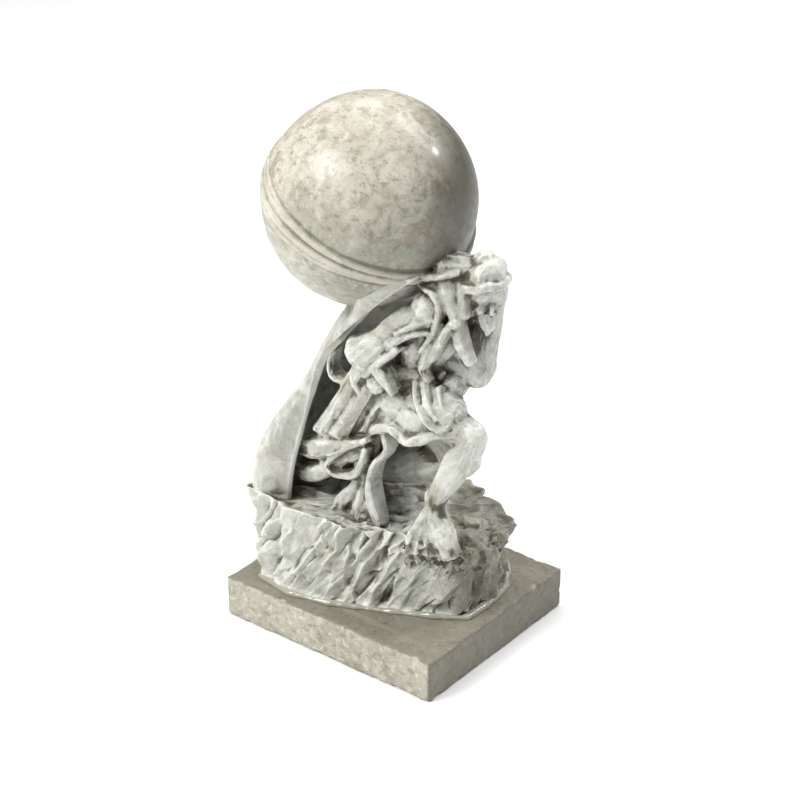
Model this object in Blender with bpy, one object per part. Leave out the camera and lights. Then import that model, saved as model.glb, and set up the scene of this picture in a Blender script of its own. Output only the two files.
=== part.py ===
"""Stone statue of a miner who kneels under a huge wrapped boulder, on a square-cut slab.

Two pieces: the sawn plinth, and the carved block that stands on it (rock, man, cloak and boulder in one).
Metres, +Z up. The origin is the centre of the plinth's underside. The man faces +X, and his right side is -Y.
"""

import bmesh
import bpy
import numpy as np

# Driving sizes, in metres
PLINTH_LENGTH = 0.1535
PLINTH_WIDTH = 0.1325
PLINTH_HEIGHT = 0.025
PLINTH_EDGE = 0.0012
BED_GAP = 0.0003
STATUE_HEIGHT = 0.297
SKIN_STEP = 0.0016
SKIN_TRIANGLES = 9200

# The carving is drawn in millimetres above the bed, at this height, and scaled to STATUE_HEIGHT
DRAWN_HEIGHT = 297.0

# The boulder and the cloth that slings it
BOULDER_RADIUS = 60.0
BOULDER_CENTRE = np.array((-14.5, -3.0, DRAWN_HEIGHT - BOULDER_RADIUS))
SLING_TILT = np.array((0.40, -0.04, 0.915))
SLING_GATHER = np.array((0.85, -0.05, -0.51))
# Each fold of the sling: its level at the back as a share of the radius, its height and its width
SLING_FOLDS = ((0.13, 1.5, 0.03), (0.05, 1.2, 0.035), (-0.04, 1.5, 0.035), (-0.14, 1.8, 0.05))

# The man's joints
PELVIS = np.array((12.0, -4.0, 126.0))
WAIST = np.array((22.0, -4.0, 148.0))
CHEST = np.array((35.0, -4.0, 172.0))
COLLAR = np.array((46.0, -4.0, 194.0))
HEAD = np.array((60.0, 1.0, 198.0))
RIGHT_SHOULDER = np.array((39.0, -20.0, 190.0))
RIGHT_ELBOW = np.array((7.0, -28.0, 161.0))
RIGHT_WRIST = np.array((16.0, -24.0, 147.0))
LEFT_SHOULDER = np.array((42.0, 14.0, 190.0))
LEFT_ELBOW = np.array((54.0, 6.0, 152.0))
LEFT_WRIST = np.array((66.0, 4.0, 192.0))
LEFT_FIST = np.array((68.0, 3.0, 209.0))
RIGHT_HIP = np.array((14.0, -12.0, 128.0))
RIGHT_KNEE = np.array((65.0, -13.0, 117.0))
RIGHT_ANKLE = np.array((43.0, -19.0, 71.0))
RIGHT_TOE = np.array((59.0, -29.0, 48.0))
LEFT_HIP = np.array((11.0, 8.0, 126.0))
LEFT_KNEE = np.array((40.0, 9.0, 90.0))
LEFT_ANKLE = np.array((-14.0, 6.0, 64.0))
LEFT_TOE = np.array((-28.0, 6.0, 57.0))

# The rock: its outline on the bed and round its rim, from the near left corner and counter-clockwise
ROCK_FOOT = ((-62, -55), (-34, -60), (-8, -54), (9, -47), (33, -36), (52, -26), (67, -16), (68, 7),
             (65, 29), (49, 53), (20, 59), (-20, 58), (-59, 53), (-70, 25), (-70, -20))
ROCK_RIM = ((-74.5, -51), (-38, -54), (-16, -52), (4, -48), (31, -32), (50, -24), (65, -12), (69, 10),
            (68, 33), (46, 42), (18, 49), (-20, 50), (-61, 47), (-75, 22), (-75, -20))
ROCK_RIM_HEIGHT = (57, 56, 54, 53, 52, 47, 44, 44, 45, 51, 55, 57, 57, 57, 57)
ROCK_CUT = 4.0

# The cloak, from under the boulder down to the rock: for each height, its near edge, near corner, back and far edge
CLOAK_THICKNESS = 5.0
CLOAK_LEVELS = (
    (212.0, (38, -27), (17, -36), (-9, -2), (24, 18)),
    (196.0, (20, -34), (5, -36), (-14, -2), (16, 20)),
    (180.0, (3, -33), (-4, -30), (-21, -2), (8, 20)),
    (162.0, (-14, -31), (-19, -27), (-32, -2), (4, 22)),
    (146.0, (-27, -30), (-31, -25), (-42, -2), (0, 24)),
    (122.0, (-35, -31), (-44, -28), (-54, -2), (-3, 26)),
    (98.0, (-40, -34), (-58, -38), (-66, -2), (-4, 28)),
    (74.0, (-45, -37), (-68, -45), (-72, -2), (-2, 30)),
    (50.0, (-49, -40), (-71, -47), (-73, -2), (0, 32)),
)


def clear_scene():
    for thing in list(bpy.data.objects):
        bpy.data.objects.remove(thing)


def stone(name, colour, roughness):
    material = bpy.data.materials.new(name)
    material.use_nodes = True
    shader = material.node_tree.nodes["Principled BSDF"]
    shader.inputs["Base Color"].default_value = (*colour, 1.0)
    shader.inputs["Roughness"].default_value = roughness
    shader.inputs["Metallic"].default_value = 0.0
    return material


def smooth_path(points, count):
    """A Catmull-Rom curve through the rows of points, read at count even steps."""
    points = np.asarray(points, float)
    ends = np.vstack((2 * points[0] - points[1], points, 2 * points[-1] - points[-2]))
    at = np.linspace(0, len(points) - 1, count)
    i = np.minimum(at.astype(int), len(points) - 2)
    t = (at - i)[:, None]
    a, b, c, d = ends[i], ends[i + 1], ends[i + 2], ends[i + 3]
    return 0.5 * (2 * b + (c - a) * t + (2 * a - 5 * b + 4 * c - d) * t**2 + (3 * b - a - 3 * c + d) * t**3)


def unit(vectors):
    return vectors / np.maximum(np.linalg.norm(vectors, axis=-1, keepdims=True), 1e-9)


def tube(path, steps=20, around=24, facing=(0, 1, 0), folds=None, square=1.0):
    """Rings along a path of (x, y, z, half width, half depth), rounded off at both ends.

    The half width lies along facing, folds(along, angle) scales the ring, and a square under 1 makes it boxy.
    """
    line = smooth_path(path, steps)
    first, last = line[0], line[-1]
    start = unit(line[0, :3] - line[1, :3])
    end = unit(line[-1, :3] - line[-2, :3])
    caps = np.array((0.97, 0.85, 0.6, 0.3))
    reach = np.sqrt(1 - caps**2)
    before = [np.r_[first[:3] + start * first[3:].min() * r, first[3:] * c] for r, c in zip(reach, caps)]
    after = [np.r_[last[:3] + end * last[3:].min() * r, last[3:] * c] for r, c in zip(reach, caps)]
    line = np.vstack((before[::-1], line, after))
    along = unit(np.gradient(line[:, :3], axis=0))
    deep = unit(np.cross(along, np.asarray(facing, float)))
    wide = np.cross(deep, along)
    angle = np.linspace(0, 2 * np.pi, around, endpoint=False)
    share = np.linspace(0, 1, len(line))[:, None]
    scale = 1.0 if folds is None else folds(share, angle[None, :])
    wide_share = np.sign(np.cos(angle)) * np.abs(np.cos(angle)) ** square
    deep_share = np.sign(np.sin(angle)) * np.abs(np.sin(angle)) ** square
    wide_part = (line[:, 3:4] * wide_share * scale)[..., None] * wide[:, None]
    deep_part = (line[:, 4:5] * deep_share * scale)[..., None] * deep[:, None]
    return line[:, None, :3] + wide_part + deep_part


def egg(centre, radii, axis=(0, 0, 1), rings=10, around=16):
    """Rings of an ellipsoid whose third radius lies along axis."""
    axis = unit(np.asarray(axis, float))
    wide = unit(np.cross((0.0, 1.0, 0.0), axis)) if abs(axis[1]) < 0.9 else np.array((1.0, 0.0, 0.0))
    deep = np.cross(axis, wide)
    polar = np.linspace(0.12, np.pi - 0.12, rings)[:, None, None]
    angle = np.linspace(0, 2 * np.pi, around, endpoint=False)[None, :, None]
    out = radii[0] * np.cos(angle) * wide + radii[1] * np.sin(angle) * deep
    return np.asarray(centre) - np.cos(polar) * radii[2] * axis + np.sin(polar) * out


def plate(grid, thickness):
    """A sheet of points (rows, columns, 3) given a thickness: rings that run round its section."""
    grid = np.asarray(grid, float)
    normal = unit(np.cross(np.gradient(grid, axis=0), np.gradient(grid, axis=1)))
    half = normal * thickness / 2
    return np.concatenate((grid + half, (grid - half)[:, ::-1]), axis=1)


def boulder():
    """The ball, with the sling's cloth raised on it: swept folds that close up towards the man's shoulder."""
    ball = egg((0, 0, 0), (1, 1, 1), axis=SLING_TILT, rings=90, around=72)
    way = unit(ball)
    level = way @ unit(SLING_TILT)
    rear = 0.5 - 0.5 * way @ unit(SLING_GATHER)
    radius = BOULDER_RADIUS * (1 - 0.02 * np.clip(way @ unit(np.array((-0.7, 0.0, 0.7))) - 0.75, 0, 1) / 0.25)
    for start, height, width in SLING_FOLDS:
        centre = -0.1 + (start + 0.1) * (0.35 + 0.65 * rear)
        radius = radius + height * np.exp(-(((level - centre) / width) ** 2))
    return BOULDER_CENTRE + way * radius[..., None]


def hewn(points, depth):
    """How far a chisel has cut in at each point: slanting flat cells with a crease between neighbours."""
    chance = np.random.default_rng(11)
    count = 260
    seeds = np.c_[chance.uniform(-78, 76, count), chance.uniform(-60, 60, count), chance.uniform(-6, 64, count)]
    slopes = chance.normal(0, 1, (count, 3))
    heights = chance.uniform(0, 1, count)
    squash = np.array((1.0, 1.0, 0.4))
    slant = points - np.array((0.55, 0.35, 0.0)) * points[:, 2:3]
    seeds = seeds - np.array((0.55, 0.35, 0.0)) * seeds[:, 2:3]
    gap = np.linalg.norm((slant[:, None] - seeds[None]) * squash, axis=2)
    order = np.argsort(gap, axis=1)[:, :2]
    row = np.arange(len(points))
    near, second = order[:, 0], order[:, 1]
    crease = np.exp(-(((gap[row, second] - gap[row, near]) / 1.6) ** 2))
    tilt = np.sum(slopes[near] * (slant - seeds[near]) * squash, axis=1) / 9.0
    return depth * (0.45 * heights[near] + 0.5 * np.clip(tilt, -1, 1) + 0.45 * crease)


def rock():
    """The hewn rock: rings from the bed up to its rim, then inwards over its top."""
    steps = 150
    foot = closed_path([(*p, 0) for p in ROCK_FOOT], steps)
    rim = closed_path([(*p, h) for p, h in zip(ROCK_RIM, ROCK_RIM_HEIGHT)], steps)
    rings = []
    for share in np.linspace(0, 1, 20):
        ring = foot * (1 - share) + rim * share
        out = unit(ring * (1, 1, 0) - (5, -4, 0))
        rings.append(ring - out * (2.0 * np.sin(np.pi * share) + hewn(ring, ROCK_CUT))[:, None])
    middle = rim.mean(axis=0)
    for share in (0.9, 0.75, 0.55, 0.3, 0.08):
        ring = middle + (rim - middle) * share
        ring[:, 2] -= hewn(ring * (1, 1, 0) + (0, 0, 40), 0.8 * ROCK_CUT)
        rings.append(ring)
    return np.array(rings)


def closed_path(points, count):
    """A closed outline through the points, with straight sides, read at count even steps."""
    points = np.asarray(points, float)
    at = np.linspace(0, len(points), count, endpoint=False)
    i = at.astype(int)
    t = (at - i)[:, None]
    return points[i] * (1 - t) + points[(i + 1) % len(points)] * t


def cloak():
    """The cloak that falls from under the boulder: an open U in plan that widens down to the rock."""
    rows = []
    for height, edge, corner, back, far in CLOAK_LEVELS:
        far_corner = (corner[0] + 6, back[1] * 2 - corner[1])
        rows.append(smooth_path([(*spot, height) for spot in (edge, corner, back, far_corner, far)], 29))
    grid = smooth_path(np.array(rows).reshape(len(rows), -1), 26).reshape(26, 29, 3)
    return plate(grid, CLOAK_THICKNESS)


def limb(*stations, **how):
    return tube([(*place, *radii) for place, radii in stations], **how)


def between(a, b, share):
    return a + (b - a) * share


def ribs(depth, count, phase=0.0, twist=0.0):
    """Folds that wind along a form, sharp on their crests, and die out at its ends."""
    return lambda along, angle: 1 + depth * np.sin(np.pi * along) * (
        1 - 2 * np.abs(np.sin(0.5 * (count * angle + phase + twist * along)))
    )


def strap(*stations, root=2.5, **how):
    """A flat band through (x, y, z, half width, half depth) stations, rooted deeper in what lies behind it."""
    path = np.array(stations, float) + (0, root, 0, root, 0)
    return tube(path, **{"steps": 22, **how})


def torso_and_head():
    """Trunk, neck, head, hat and beard."""
    return [
        limb((PELVIS, (17, 15)), (WAIST, (16, 13)), (CHEST, (18, 16)), (COLLAR, (16, 11)),
             folds=ribs(0.05, 5, twist=3)),
        limb((RIGHT_SHOULDER, (9, 10)), (between(RIGHT_SHOULDER, LEFT_SHOULDER, 0.5), (12, 13)),
             (LEFT_SHOULDER, (9, 9)), facing=(0, 0, 1)),
        limb((COLLAR, (10, 10)), (between(COLLAR, HEAD, 0.6), (9, 9)), (HEAD, (8, 8))),
        # The coat's front swells over the ribs and gathers under the collar
        egg((29, -18, 165), (8, 7, 11), axis=(0.6, 0, 1)),
        egg((36, -17, 171), (6, 7, 10), axis=(0.5, 0, 1)),
        egg((25, -16, 157), (7, 6, 7), axis=(0.8, 0, 0.6)),
        strap((42, -21, 172, 3, 4), (38, -21, 162, 3, 4), (35, -20, 154, 2.4, 3.4), (38, -19, 147, 1.6, 2)),
        egg(HEAD, (10.0, 9.5, 13), axis=(0.2, 0, 1)),
        *face(),
        # Hat: a crumpled crown, and a brim turned down over the temple
        limb((HEAD + (1, -1, 8), (13, 13)), (HEAD + (2, -1, 13), (12.5, 12.5)), (HEAD + (2, -1, 18), (11, 11)),
             (HEAD + (1, -1, 21), (6, 7)), folds=ribs(0.1, 5, 0.6, 2.5), square=0.8),
        strap(*[(61.5 + 13 * np.cos(t), 0 + 13.5 * np.sin(t), 206.5 + 2.4 * np.cos(t) + 0.9 * np.sin(5 * t), 2.6, 2.4)
                for t in np.linspace(0.2, 6.5, 13)], root=0, facing=(0, 0, 1), square=0.7),
    ]


FACE_FORWARD = unit(np.array((0.85, -0.47, -0.22)))
FACE_SIDE = unit(np.cross((0, 0, 1), FACE_FORWARD))


def face():
    """Brow, lids, cheeks, nose, moustache, lip, beard and hair, each placed forward, sideways and up."""
    def at(forward, side, up):
        return HEAD + forward * FACE_FORWARD + side * FACE_SIDE + np.array((0, 0, up))

    forms = [
        limb((at(8, -6, 3), (1.5, 1.4)), (at(9.8, 0, 3.6), (1.8, 1.5)), (at(8, 6, 3), (1.5, 1.4))),
        limb((at(10, 0, 3.5), (1.2, 1.2)), (at(12.4, 0, -1.5), (1.5, 1.6)), (at(12.6, 0, -3), (2.2, 1.5))),
        egg(at(9.3, 0, -8.5), (1.6, 2.6, 1.0)),
        tube([(*at(6, 0, -8), 7, 5), (*at(7.5, 0, -12), 6, 5), (*at(7.5, 0, -16), 3.6, 3.6),
              (*at(7.5, -0.5, -19), 1.4, 1.4)], facing=tuple(FACE_SIDE), folds=ribs(0.1, 9, twist=1)),
        tube([(*at(-1, -9.5, 8), 3, 5), (*at(0, -10, 1), 3, 5), (*at(2, -8.5, -8), 3, 4)], folds=ribs(0.12, 8, twist=1)),
    ]
    for way in (-1, 1):
        forms += [
            egg(at(8.6, 4.0 * way, 0.4), (2.0, 2.2, 1.9)),
            egg(at(7.2, 5.0 * way, -3.2), (3.4, 3.2, 3.8)),
            limb((at(10.6, 0.4 * way, -5.6), (1.5, 1.4)), (at(9.0, 4.4 * way, -7.6), (1.2, 1.1))),
        ]
    return forms


def arms():
    """Both sleeves and both hands: four fingers are tubes laid side by side."""
    forms = [
        egg(RIGHT_SHOULDER + (0, -1, 1), (9.5, 9, 10.5), axis=(-0.5, 0, 1)),
        limb((RIGHT_SHOULDER, (9.5, 9)), ((22, -25, 177), (8.2, 8.5)), ((10, -28, 167), (7.4, 7.5)),
             folds=ribs(0.08, 4, twist=5), square=0.85),
        # Sleeve folds that pull from the armpit towards the cuff
        strap((42, -26, 180, 1.6, 2.0), (33, -30, 177, 1.9, 2.4), (23, -31.5, 170, 1.9, 2.4), (15, -32, 164, 1.4, 1.8)),
        strap((45, -26, 188, 1.4, 1.8), (36, -31, 183.5, 1.7, 2.0), (26, -33, 177, 1.4, 1.8)),
        limb((RIGHT_ELBOW, (6, 6)), (RIGHT_WRIST, (5.5, 5.5)), (RIGHT_WRIST + (3, -1, -5), (6, 4))),
        # Left arm, with the elbow forward and the fist at the brow
        limb((LEFT_SHOULDER, (10, 10)), (LEFT_ELBOW, (11, 11)), folds=ribs(0.06, 4, twist=5)),
        egg((54.5, 4, 149), (10, 9, 9), axis=(0.5, 0, 1)),
        egg((46, -4, 142), (8, 9, 8)),
        limb(((38, 0, 158), (9, 11)), ((52, 3, 150), (9, 9))),
        egg((46, 4, 166), (12, 12, 16), axis=(0.2, 0, 1)),
        limb((LEFT_ELBOW, (10.5, 10.5)), (between(LEFT_ELBOW, LEFT_WRIST, 0.6), (8, 8)), (LEFT_WRIST, (6.0, 6.0)),
             folds=ribs(0.05, 4, twist=4)),
        limb((LEFT_WRIST, (5.2, 5.2)), (LEFT_FIST + (0, 1, -8), (5.5, 6.0)), (LEFT_FIST + (0, 1, -4), (5.0, 5.0))),
    ]
    for finger in range(4):
        knuckle = LEFT_FIST + (0.0 - 0.5 * finger, -4 + 3.1 * finger, -6)
        forms.append(limb((knuckle + (-3, 0, -9), (1.9, 1.9)), (knuckle + (3, 0, -3), (2.0, 2.0)),
                          (knuckle + (2, 0, 3), (1.8, 1.8)), (knuckle + (-5, 0, 6), (1.5, 1.5))))
    return forms


def legs():
    """The forward leg with its calf and foot, and the kneeling leg behind it."""
    foot_top = RIGHT_ANKLE + (0, -2, 2)
    forms = [
        limb((RIGHT_HIP, (14, 13)), (between(RIGHT_HIP, RIGHT_KNEE, 0.6), (10, 10)), (RIGHT_KNEE, (8, 8.5)),
             square=0.8),
        limb((RIGHT_KNEE + (-8, 0, 6), (8, 7)), (RIGHT_KNEE + (1, 0, 2), (7.5, 7)), (RIGHT_KNEE + (-1, 0, -7), (7, 7)),
             square=0.7),
        limb((RIGHT_KNEE, (8, 8.5)), (between(RIGHT_KNEE, RIGHT_ANKLE, 0.4), (8, 8.5)), (RIGHT_ANKLE, (5.8, 5.2)),
             folds=ribs(0.04, 3, twist=1.5), square=0.75),
        limb((RIGHT_ANKLE + (0, 0, 6), (5, 5)), (RIGHT_ANKLE + (3, -2, -6), (6.5, 6.5)),
             (RIGHT_ANKLE + (7, -3, -15), (8, 10)), (RIGHT_ANKLE + (9, -3, -26), (6, 12)), square=0.85),
        limb((LEFT_HIP, (15, 15)), (LEFT_KNEE, (14, 14))),
        limb((LEFT_KNEE, (14, 14)), (between(LEFT_KNEE, LEFT_ANKLE, 0.45), (12, 13)), (LEFT_ANKLE, (8, 8)),
             (LEFT_TOE, (7, 6))),
    ]
    # Ridges that fan out from the ankle over the foot and onto the rock, as the chisel left them
    for fan in np.linspace(-1, 1, 9):
        tip = np.array((49 + 19 * fan, -25.0 + 11.5 * fan, 30 + 10 * abs(fan)))
        rim = np.array((48 + 12 * fan, -27.0 + 7.5 * fan, 50))
        forms.append(limb((foot_top, (2.4, 2.4)), (rim, (2.6, 2.4)), (tip, (1.8, 2.8)), square=0.7))
    # Rounded stones beside the foot
    for place, radii, axis in (((57, 0, 43), (13, 10, 6), (0.2, -0.3, 1)), ((62, -10, 38), (8, 8, 9), (0.3, -0.2, 1)),
                               ((50, 14, 45), (12, 9, 6), (0.1, 0.3, 1)), ((62, 17, 42), (8, 9, 7), (0.4, 0.1, 1)),
                               ((68, 3, 33), (5, 9, 11), (0.1, 0, 1))):
        forms.append(egg(place, radii, axis=axis))
    return forms


def tunic_and_coat():
    """The tunic over the thigh, and the coat with its tails."""
    return [
        # Tunic: a rounded lobe over the thigh, with folds that run down it
        limb(((12, -6, 130), (15, 14)), ((31, -10, 128), (14, 15)), ((44, -13, 129), (12, 14)),
             ((50, -14, 127), (10, 12.5)), folds=ribs(0.05, 6, twist=3), square=0.85),
        strap((31, -21, 143, 1.6, 3.0), (35, -24.5, 134, 1.8, 3.0), (43, -26.5, 126, 1.8, 3.0),
              (51, -24.5, 123, 1.8, 3.0), (55, -20, 128, 1.8, 3.0), (55, -15, 136, 1.4, 2.4), root=4),
        strap((37, -20, 144, 1.6, 3.0), (42, -24, 136, 1.8, 3.0), (48, -24, 129, 1.4, 2.4), square=0.6, root=4),
        strap((45, -18, 142, 1.6, 3.0), (49, -21.5, 136, 1.6, 2.8), (52, -21, 131, 1.4, 2.2), square=0.6, root=4),
        # Its hem band under the thigh, which stands proud in shallow scallops
        strap((-5, -23, 104, 2.4, 3.0), (5, -25, 109, 2.0, 3.2), (12, -26, 113, 1.8, 3.4), (19, -27, 114.5, 2.2, 3.2),
              (25, -26.5, 112, 2.0, 3.8), (31, -28, 111, 2.8, 3.0), (37, -26.5, 113, 2.0, 3.8), (46, -24, 118, 2.4, 3.0),
              (58, -20, 121, 1.6, 2.6), square=0.5, root=4),
        strap((-2, -15, 118, 9, 8), (14, -16, 121, 9, 9), (30, -17, 122, 9, 9), (46, -16, 124, 8, 8), square=0.7,
              folds=ribs(0.06, 5)),
        # Coat tail that swings back from the waist in two pleats
        pleated(((-10, -24, 145), (0, -26, 146), (9, -24, 141)), ((-34, -31, 98), (-25, -33, 99), (-13, -31, 101)),
                2.5, 2.2, 5.5),
        pleated(((-6, -17, 146), (4, -19, 146), (16, -18, 140)), ((-28, -24, 98), (-14, -25, 100), (0, -25, 103)),
                2.0, 1.6, 7),
        pleated(((-20, 22, 150), (0, 24, 150), (24, 20, 146)), ((-20, 26, 80), (0, 28, 84), (30, 24, 90)), 5, 2, 4),
        # Cloth that spreads below the tail: a bright fold, and a roll under it
        strap((-48, -27, 82, 2.6, 6), (-36, -30, 86, 3.2, 7.2), (-24, -31.5, 91.5, 3.4, 6.4), (-4, -30, 100, 3.0, 2.8),
              square=0.55, facing=(0, 1, 0), root=4),
        strap((-44, -31, 80, 1.0, 1.2), (-32, -34, 84, 1.2, 1.4), (-16, -34.5, 91, 1.2, 1.4), (-4, -32, 98, 1, 1.2),
              root=2),
        strap((-52, -26, 66, 3, 6.0), (-42, -28, 67, 3, 6.4), (-30, -29, 73, 3, 5.4), (-12, -28, 87, 2.6, 3.4),
              square=0.6, facing=(0, 1, 0), root=4),
        # Its open fold: a lip that turns round like an ear
        strap((2, -29, 103, 2.6, 2.2), (-9, -31, 96, 2.4, 2.6), (-19, -32.5, 87, 2.4, 2.8), (-23, -33, 80, 2.2, 2.4),
              (-18, -33, 76, 2.0, 2.4), (-6, -31.5, 79, 2.4, 3.0), (-1, -30, 87, 2.0, 2.4), (1, -29, 96, 2.0, 2.0), square=0.6, root=5),
        egg((-10, -24, 88), (5, 6, 13), axis=(20, 1, 12)),
        strap((-30, -29, 78, 2, 3), (-20, -29, 82, 2, 4), (-8, -27, 90, 2, 4), square=0.6),
        # The end that hangs to the rock: two lips with a hollow between, spread in folds at the foot
        strap((-5, -24, 104, 2.2, 2.6), (-4, -26, 94, 2.2, 2.2), (-6, -27, 82, 2.2, 2.2), (-8, -28, 70, 2.2, 3.2),
              (-14, -29, 60, 2.4, 5), (-20, -30, 51, 1.6, 5), square=0.6, root=4),
        strap((8, -21, 111, 2.4, 3.0), (12, -23, 97, 2.4, 2.2), (6, -26, 88, 2.6, 2.4), (3, -27, 76, 2.4, 2.8),
              (5, -28, 63, 2.4, 4), (10, -29, 51, 1.6, 4), square=0.6, root=4),
        strap((2, -17, 112, 3, 7), (1, -20, 98, 3, 5.5), (-1, -22, 82, 3, 4.5), (-4, -25, 62, 5, 8), (-5, -27, 50, 4, 12),
              folds=ribs(0.1, 6)),
        strap((-2, -24, 84, 1.6, 2.0), (-3, -26, 70, 1.8, 2.4), (-4, -29, 56, 1.8, 4), square=0.6, root=4),
    ]


def collar_and_sash():
    """The coat's collar, the scarf with its knot, the cuff and the sash with its pointed ends."""
    return [
        strap((36, -22, 205, 2.2, 1.8), (45, -25, 203, 2.2, 1.8), (49.5, -25, 197, 2.2, 1.8), (48, -24.5, 186, 2.2, 1.8),
              (43, -24, 176, 2.2, 1.8), (36, -23, 166, 2, 1.6), square=0.7),
        # Scarf: two folded bands that meet in a knot, and two tails that part below it
        strap((43, -15, 213, 3.4, 5), (50, -19, 203, 3.2, 4.6), (56, -20, 191, 3, 3.6), folds=ribs(0.08, 4),
              square=0.7),
        strap((50, -10, 213, 3, 4), (56.5, -14, 202, 3, 3.6), (58.5, -17, 191, 3, 3), square=0.7),
        egg((57, -20, 188), (4.0, 4.0, 4.4)),
        strap((55, -21, 187, 2.4, 2.6), (48.5, -21.5, 175, 2.2, 2.8), (41, -20.5, 161, 1.6, 1.8), square=0.5),
        strap((57.5, -19, 187, 2.4, 3.0), (58.5, -17, 175, 2.4, 3.8), (61.5, -13.5, 163, 1.6, 2.6), square=0.5),
        strap((59, -19.5, 184, 0.8, 1.0), (60.5, -18, 175, 0.9, 1.1), (62.5, -14.5, 166, 0.7, 0.9), root=1),
        # The sling's ends, gathered behind the neck
        egg((42, -5, 205), (13, 17, 10), axis=(0.3, 0, 1)),
        strap((28, -8, 211, 12, 6), (42, -8, 214, 9, 5.5), (53, -5, 214, 7, 6), folds=ribs(0.12, 7)),
        strap((34, -24, 209, 3, 2.4), (44, -21, 211, 3, 2.4), (52, -14, 213, 2.6, 2.4)),
        # Cuff: a flared end whose rim is cut in points
        limb(((13, -28, 169), (7.5, 7.5)), ((6, -29.5, 162.5), (8.5, 8.5)), ((1, -30, 158), (10, 9)),
             facing=(0.6, 0, -0.8), square=0.8,
             folds=lambda along, angle: 1 + 0.16 * along * np.abs(np.sin(2.5 * angle))),
        # Sash and its pointed ends, which cross below the cuff
        limb(((6, -20, 144), (5, 4)), ((20, -20, 148), (5, 3)), ((36, -16, 149), (5, 3)), facing=(0, 0, 1)),
        strap((7, -32, 161, 2.2, 4), (14, -33, 152, 2.4, 5), (20, -33, 145, 1.8, 3), (23, -32, 139, 1, 1),
              square=0.6),
        strap((4, -32, 146, 2.0, 2.4), (15, -34, 156, 2.2, 2.6), (26, -32, 167, 1.8, 2), square=0.6),
        strap((5, -30, 156, 2.4, 4.6), (-1, -31, 147, 2.4, 5), (-4, -31, 139, 2, 3.4), (-1, -30, 131, 1.2, 1.2),
              square=0.6),
        egg((9, -28, 141), (6, 5, 7)),
        egg((16, -26, 145), (6, 5, 6)),
        # The cloak's rim turns in below the arm
        strap((-24, -27, 150, 2.0, 2.2), (-25, -28, 141, 2.0, 2.2), (-22.5, -28, 135, 2.0, 2.4),
              (-16, -27, 134, 1.8, 2.2), (-10, -25, 139, 1.6, 2.0), root=4, square=0.7),
    ]


def pleated(top, hem, count, depth, thickness):
    """A hanging cloth between two curves, with pleats that deepen towards its hem."""
    across = np.linspace(0, 1, 40)
    down = np.linspace(0, 1, 18)[:, None, None]
    upper, lower = smooth_path(top, 40), smooth_path(hem, 40)
    grid = upper[None] * (1 - down) + lower[None] * down
    wave = np.abs((across * count) % 1.0 - 0.5) * 4 - 1
    grid[..., 1] -= depth * wave[None] * (0.3 + 0.7 * down[..., 0])
    grid[..., 2] += 1.5 * depth * wave[None] * down[..., 0] ** 4
    return plate(grid, thickness)


def skin(name, forms, material, foot):
    """One closed body out of all the overlapping forms: a fine skin over them, then fewer triangles."""
    builder = bmesh.new()
    for rings in forms:
        count, around = rings.shape[:2]
        verts = [builder.verts.new(p) for p in rings.reshape(-1, 3)]
        for i in range(count - 1):
            for j in range(around):
                k = (j + 1) % around
                corners = (i * around + j, i * around + k, (i + 1) * around + k, (i + 1) * around + j)
                builder.faces.new([verts[c] for c in corners])
        builder.faces.new(verts[:around][::-1])
        builder.faces.new(verts[-around:])
    bmesh.ops.recalc_face_normals(builder, faces=builder.faces)
    bmesh.ops.scale(builder, vec=(foot[3],) * 3, verts=builder.verts)
    bmesh.ops.translate(builder, vec=foot[:3], verts=builder.verts)
    mesh = bpy.data.meshes.new(name)
    builder.to_mesh(mesh)
    builder.free()
    thing = bpy.data.objects.new(name, mesh)
    bpy.context.scene.collection.objects.link(thing)
    mesh.materials.append(material)
    remesh = thing.modifiers.new("skin", "REMESH")
    remesh.mode = "VOXEL"
    remesh.voxel_size = SKIN_STEP
    remesh.adaptivity = 0.0
    return thing


def add_bed_cut(thing, top):
    """Cuts the underside flat, just above the plinth."""
    bpy.context.view_layer.update()
    mesh = bpy.data.meshes.new_from_object(thing.evaluated_get(bpy.context.evaluated_depsgraph_get()))
    thing.modifiers.clear()
    thing.data = mesh
    builder = bmesh.new()
    builder.from_mesh(mesh)
    everything = [*builder.verts, *builder.edges, *builder.faces]
    cut = bmesh.ops.bisect_plane(builder, geom=everything, plane_co=(0, 0, top + BED_GAP),
                                 plane_no=(0, 0, 1), clear_inner=True)
    rim = [e for e in cut["geom_cut"] if isinstance(e, bmesh.types.BMEdge)]
    bmesh.ops.edgeloop_fill(builder, edges=rim)
    bmesh.ops.triangulate(builder, faces=[f for f in builder.faces if len(f.verts) > 3])
    builder.to_mesh(mesh)
    builder.free()
    triangles = len(mesh.polygons)
    fewer = thing.modifiers.new("fewer faces", "DECIMATE")
    fewer.ratio = min(1.0, SKIN_TRIANGLES / triangles)


def plinth(material):
    builder = bmesh.new()
    bmesh.ops.create_cube(builder, size=1.0)
    bmesh.ops.scale(builder, vec=(PLINTH_LENGTH, PLINTH_WIDTH, PLINTH_HEIGHT), verts=builder.verts)
    bmesh.ops.translate(builder, vec=(0, 0, PLINTH_HEIGHT / 2), verts=builder.verts)
    mesh = bpy.data.meshes.new("plinth")
    builder.to_mesh(mesh)
    builder.free()
    thing = bpy.data.objects.new("plinth", mesh)
    bpy.context.scene.collection.objects.link(thing)
    mesh.materials.append(material)
    edge = thing.modifiers.new("worn edges", "BEVEL")
    edge.width = PLINTH_EDGE
    edge.segments = 2
    edge.limit_method = "ANGLE"
    return thing


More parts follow.
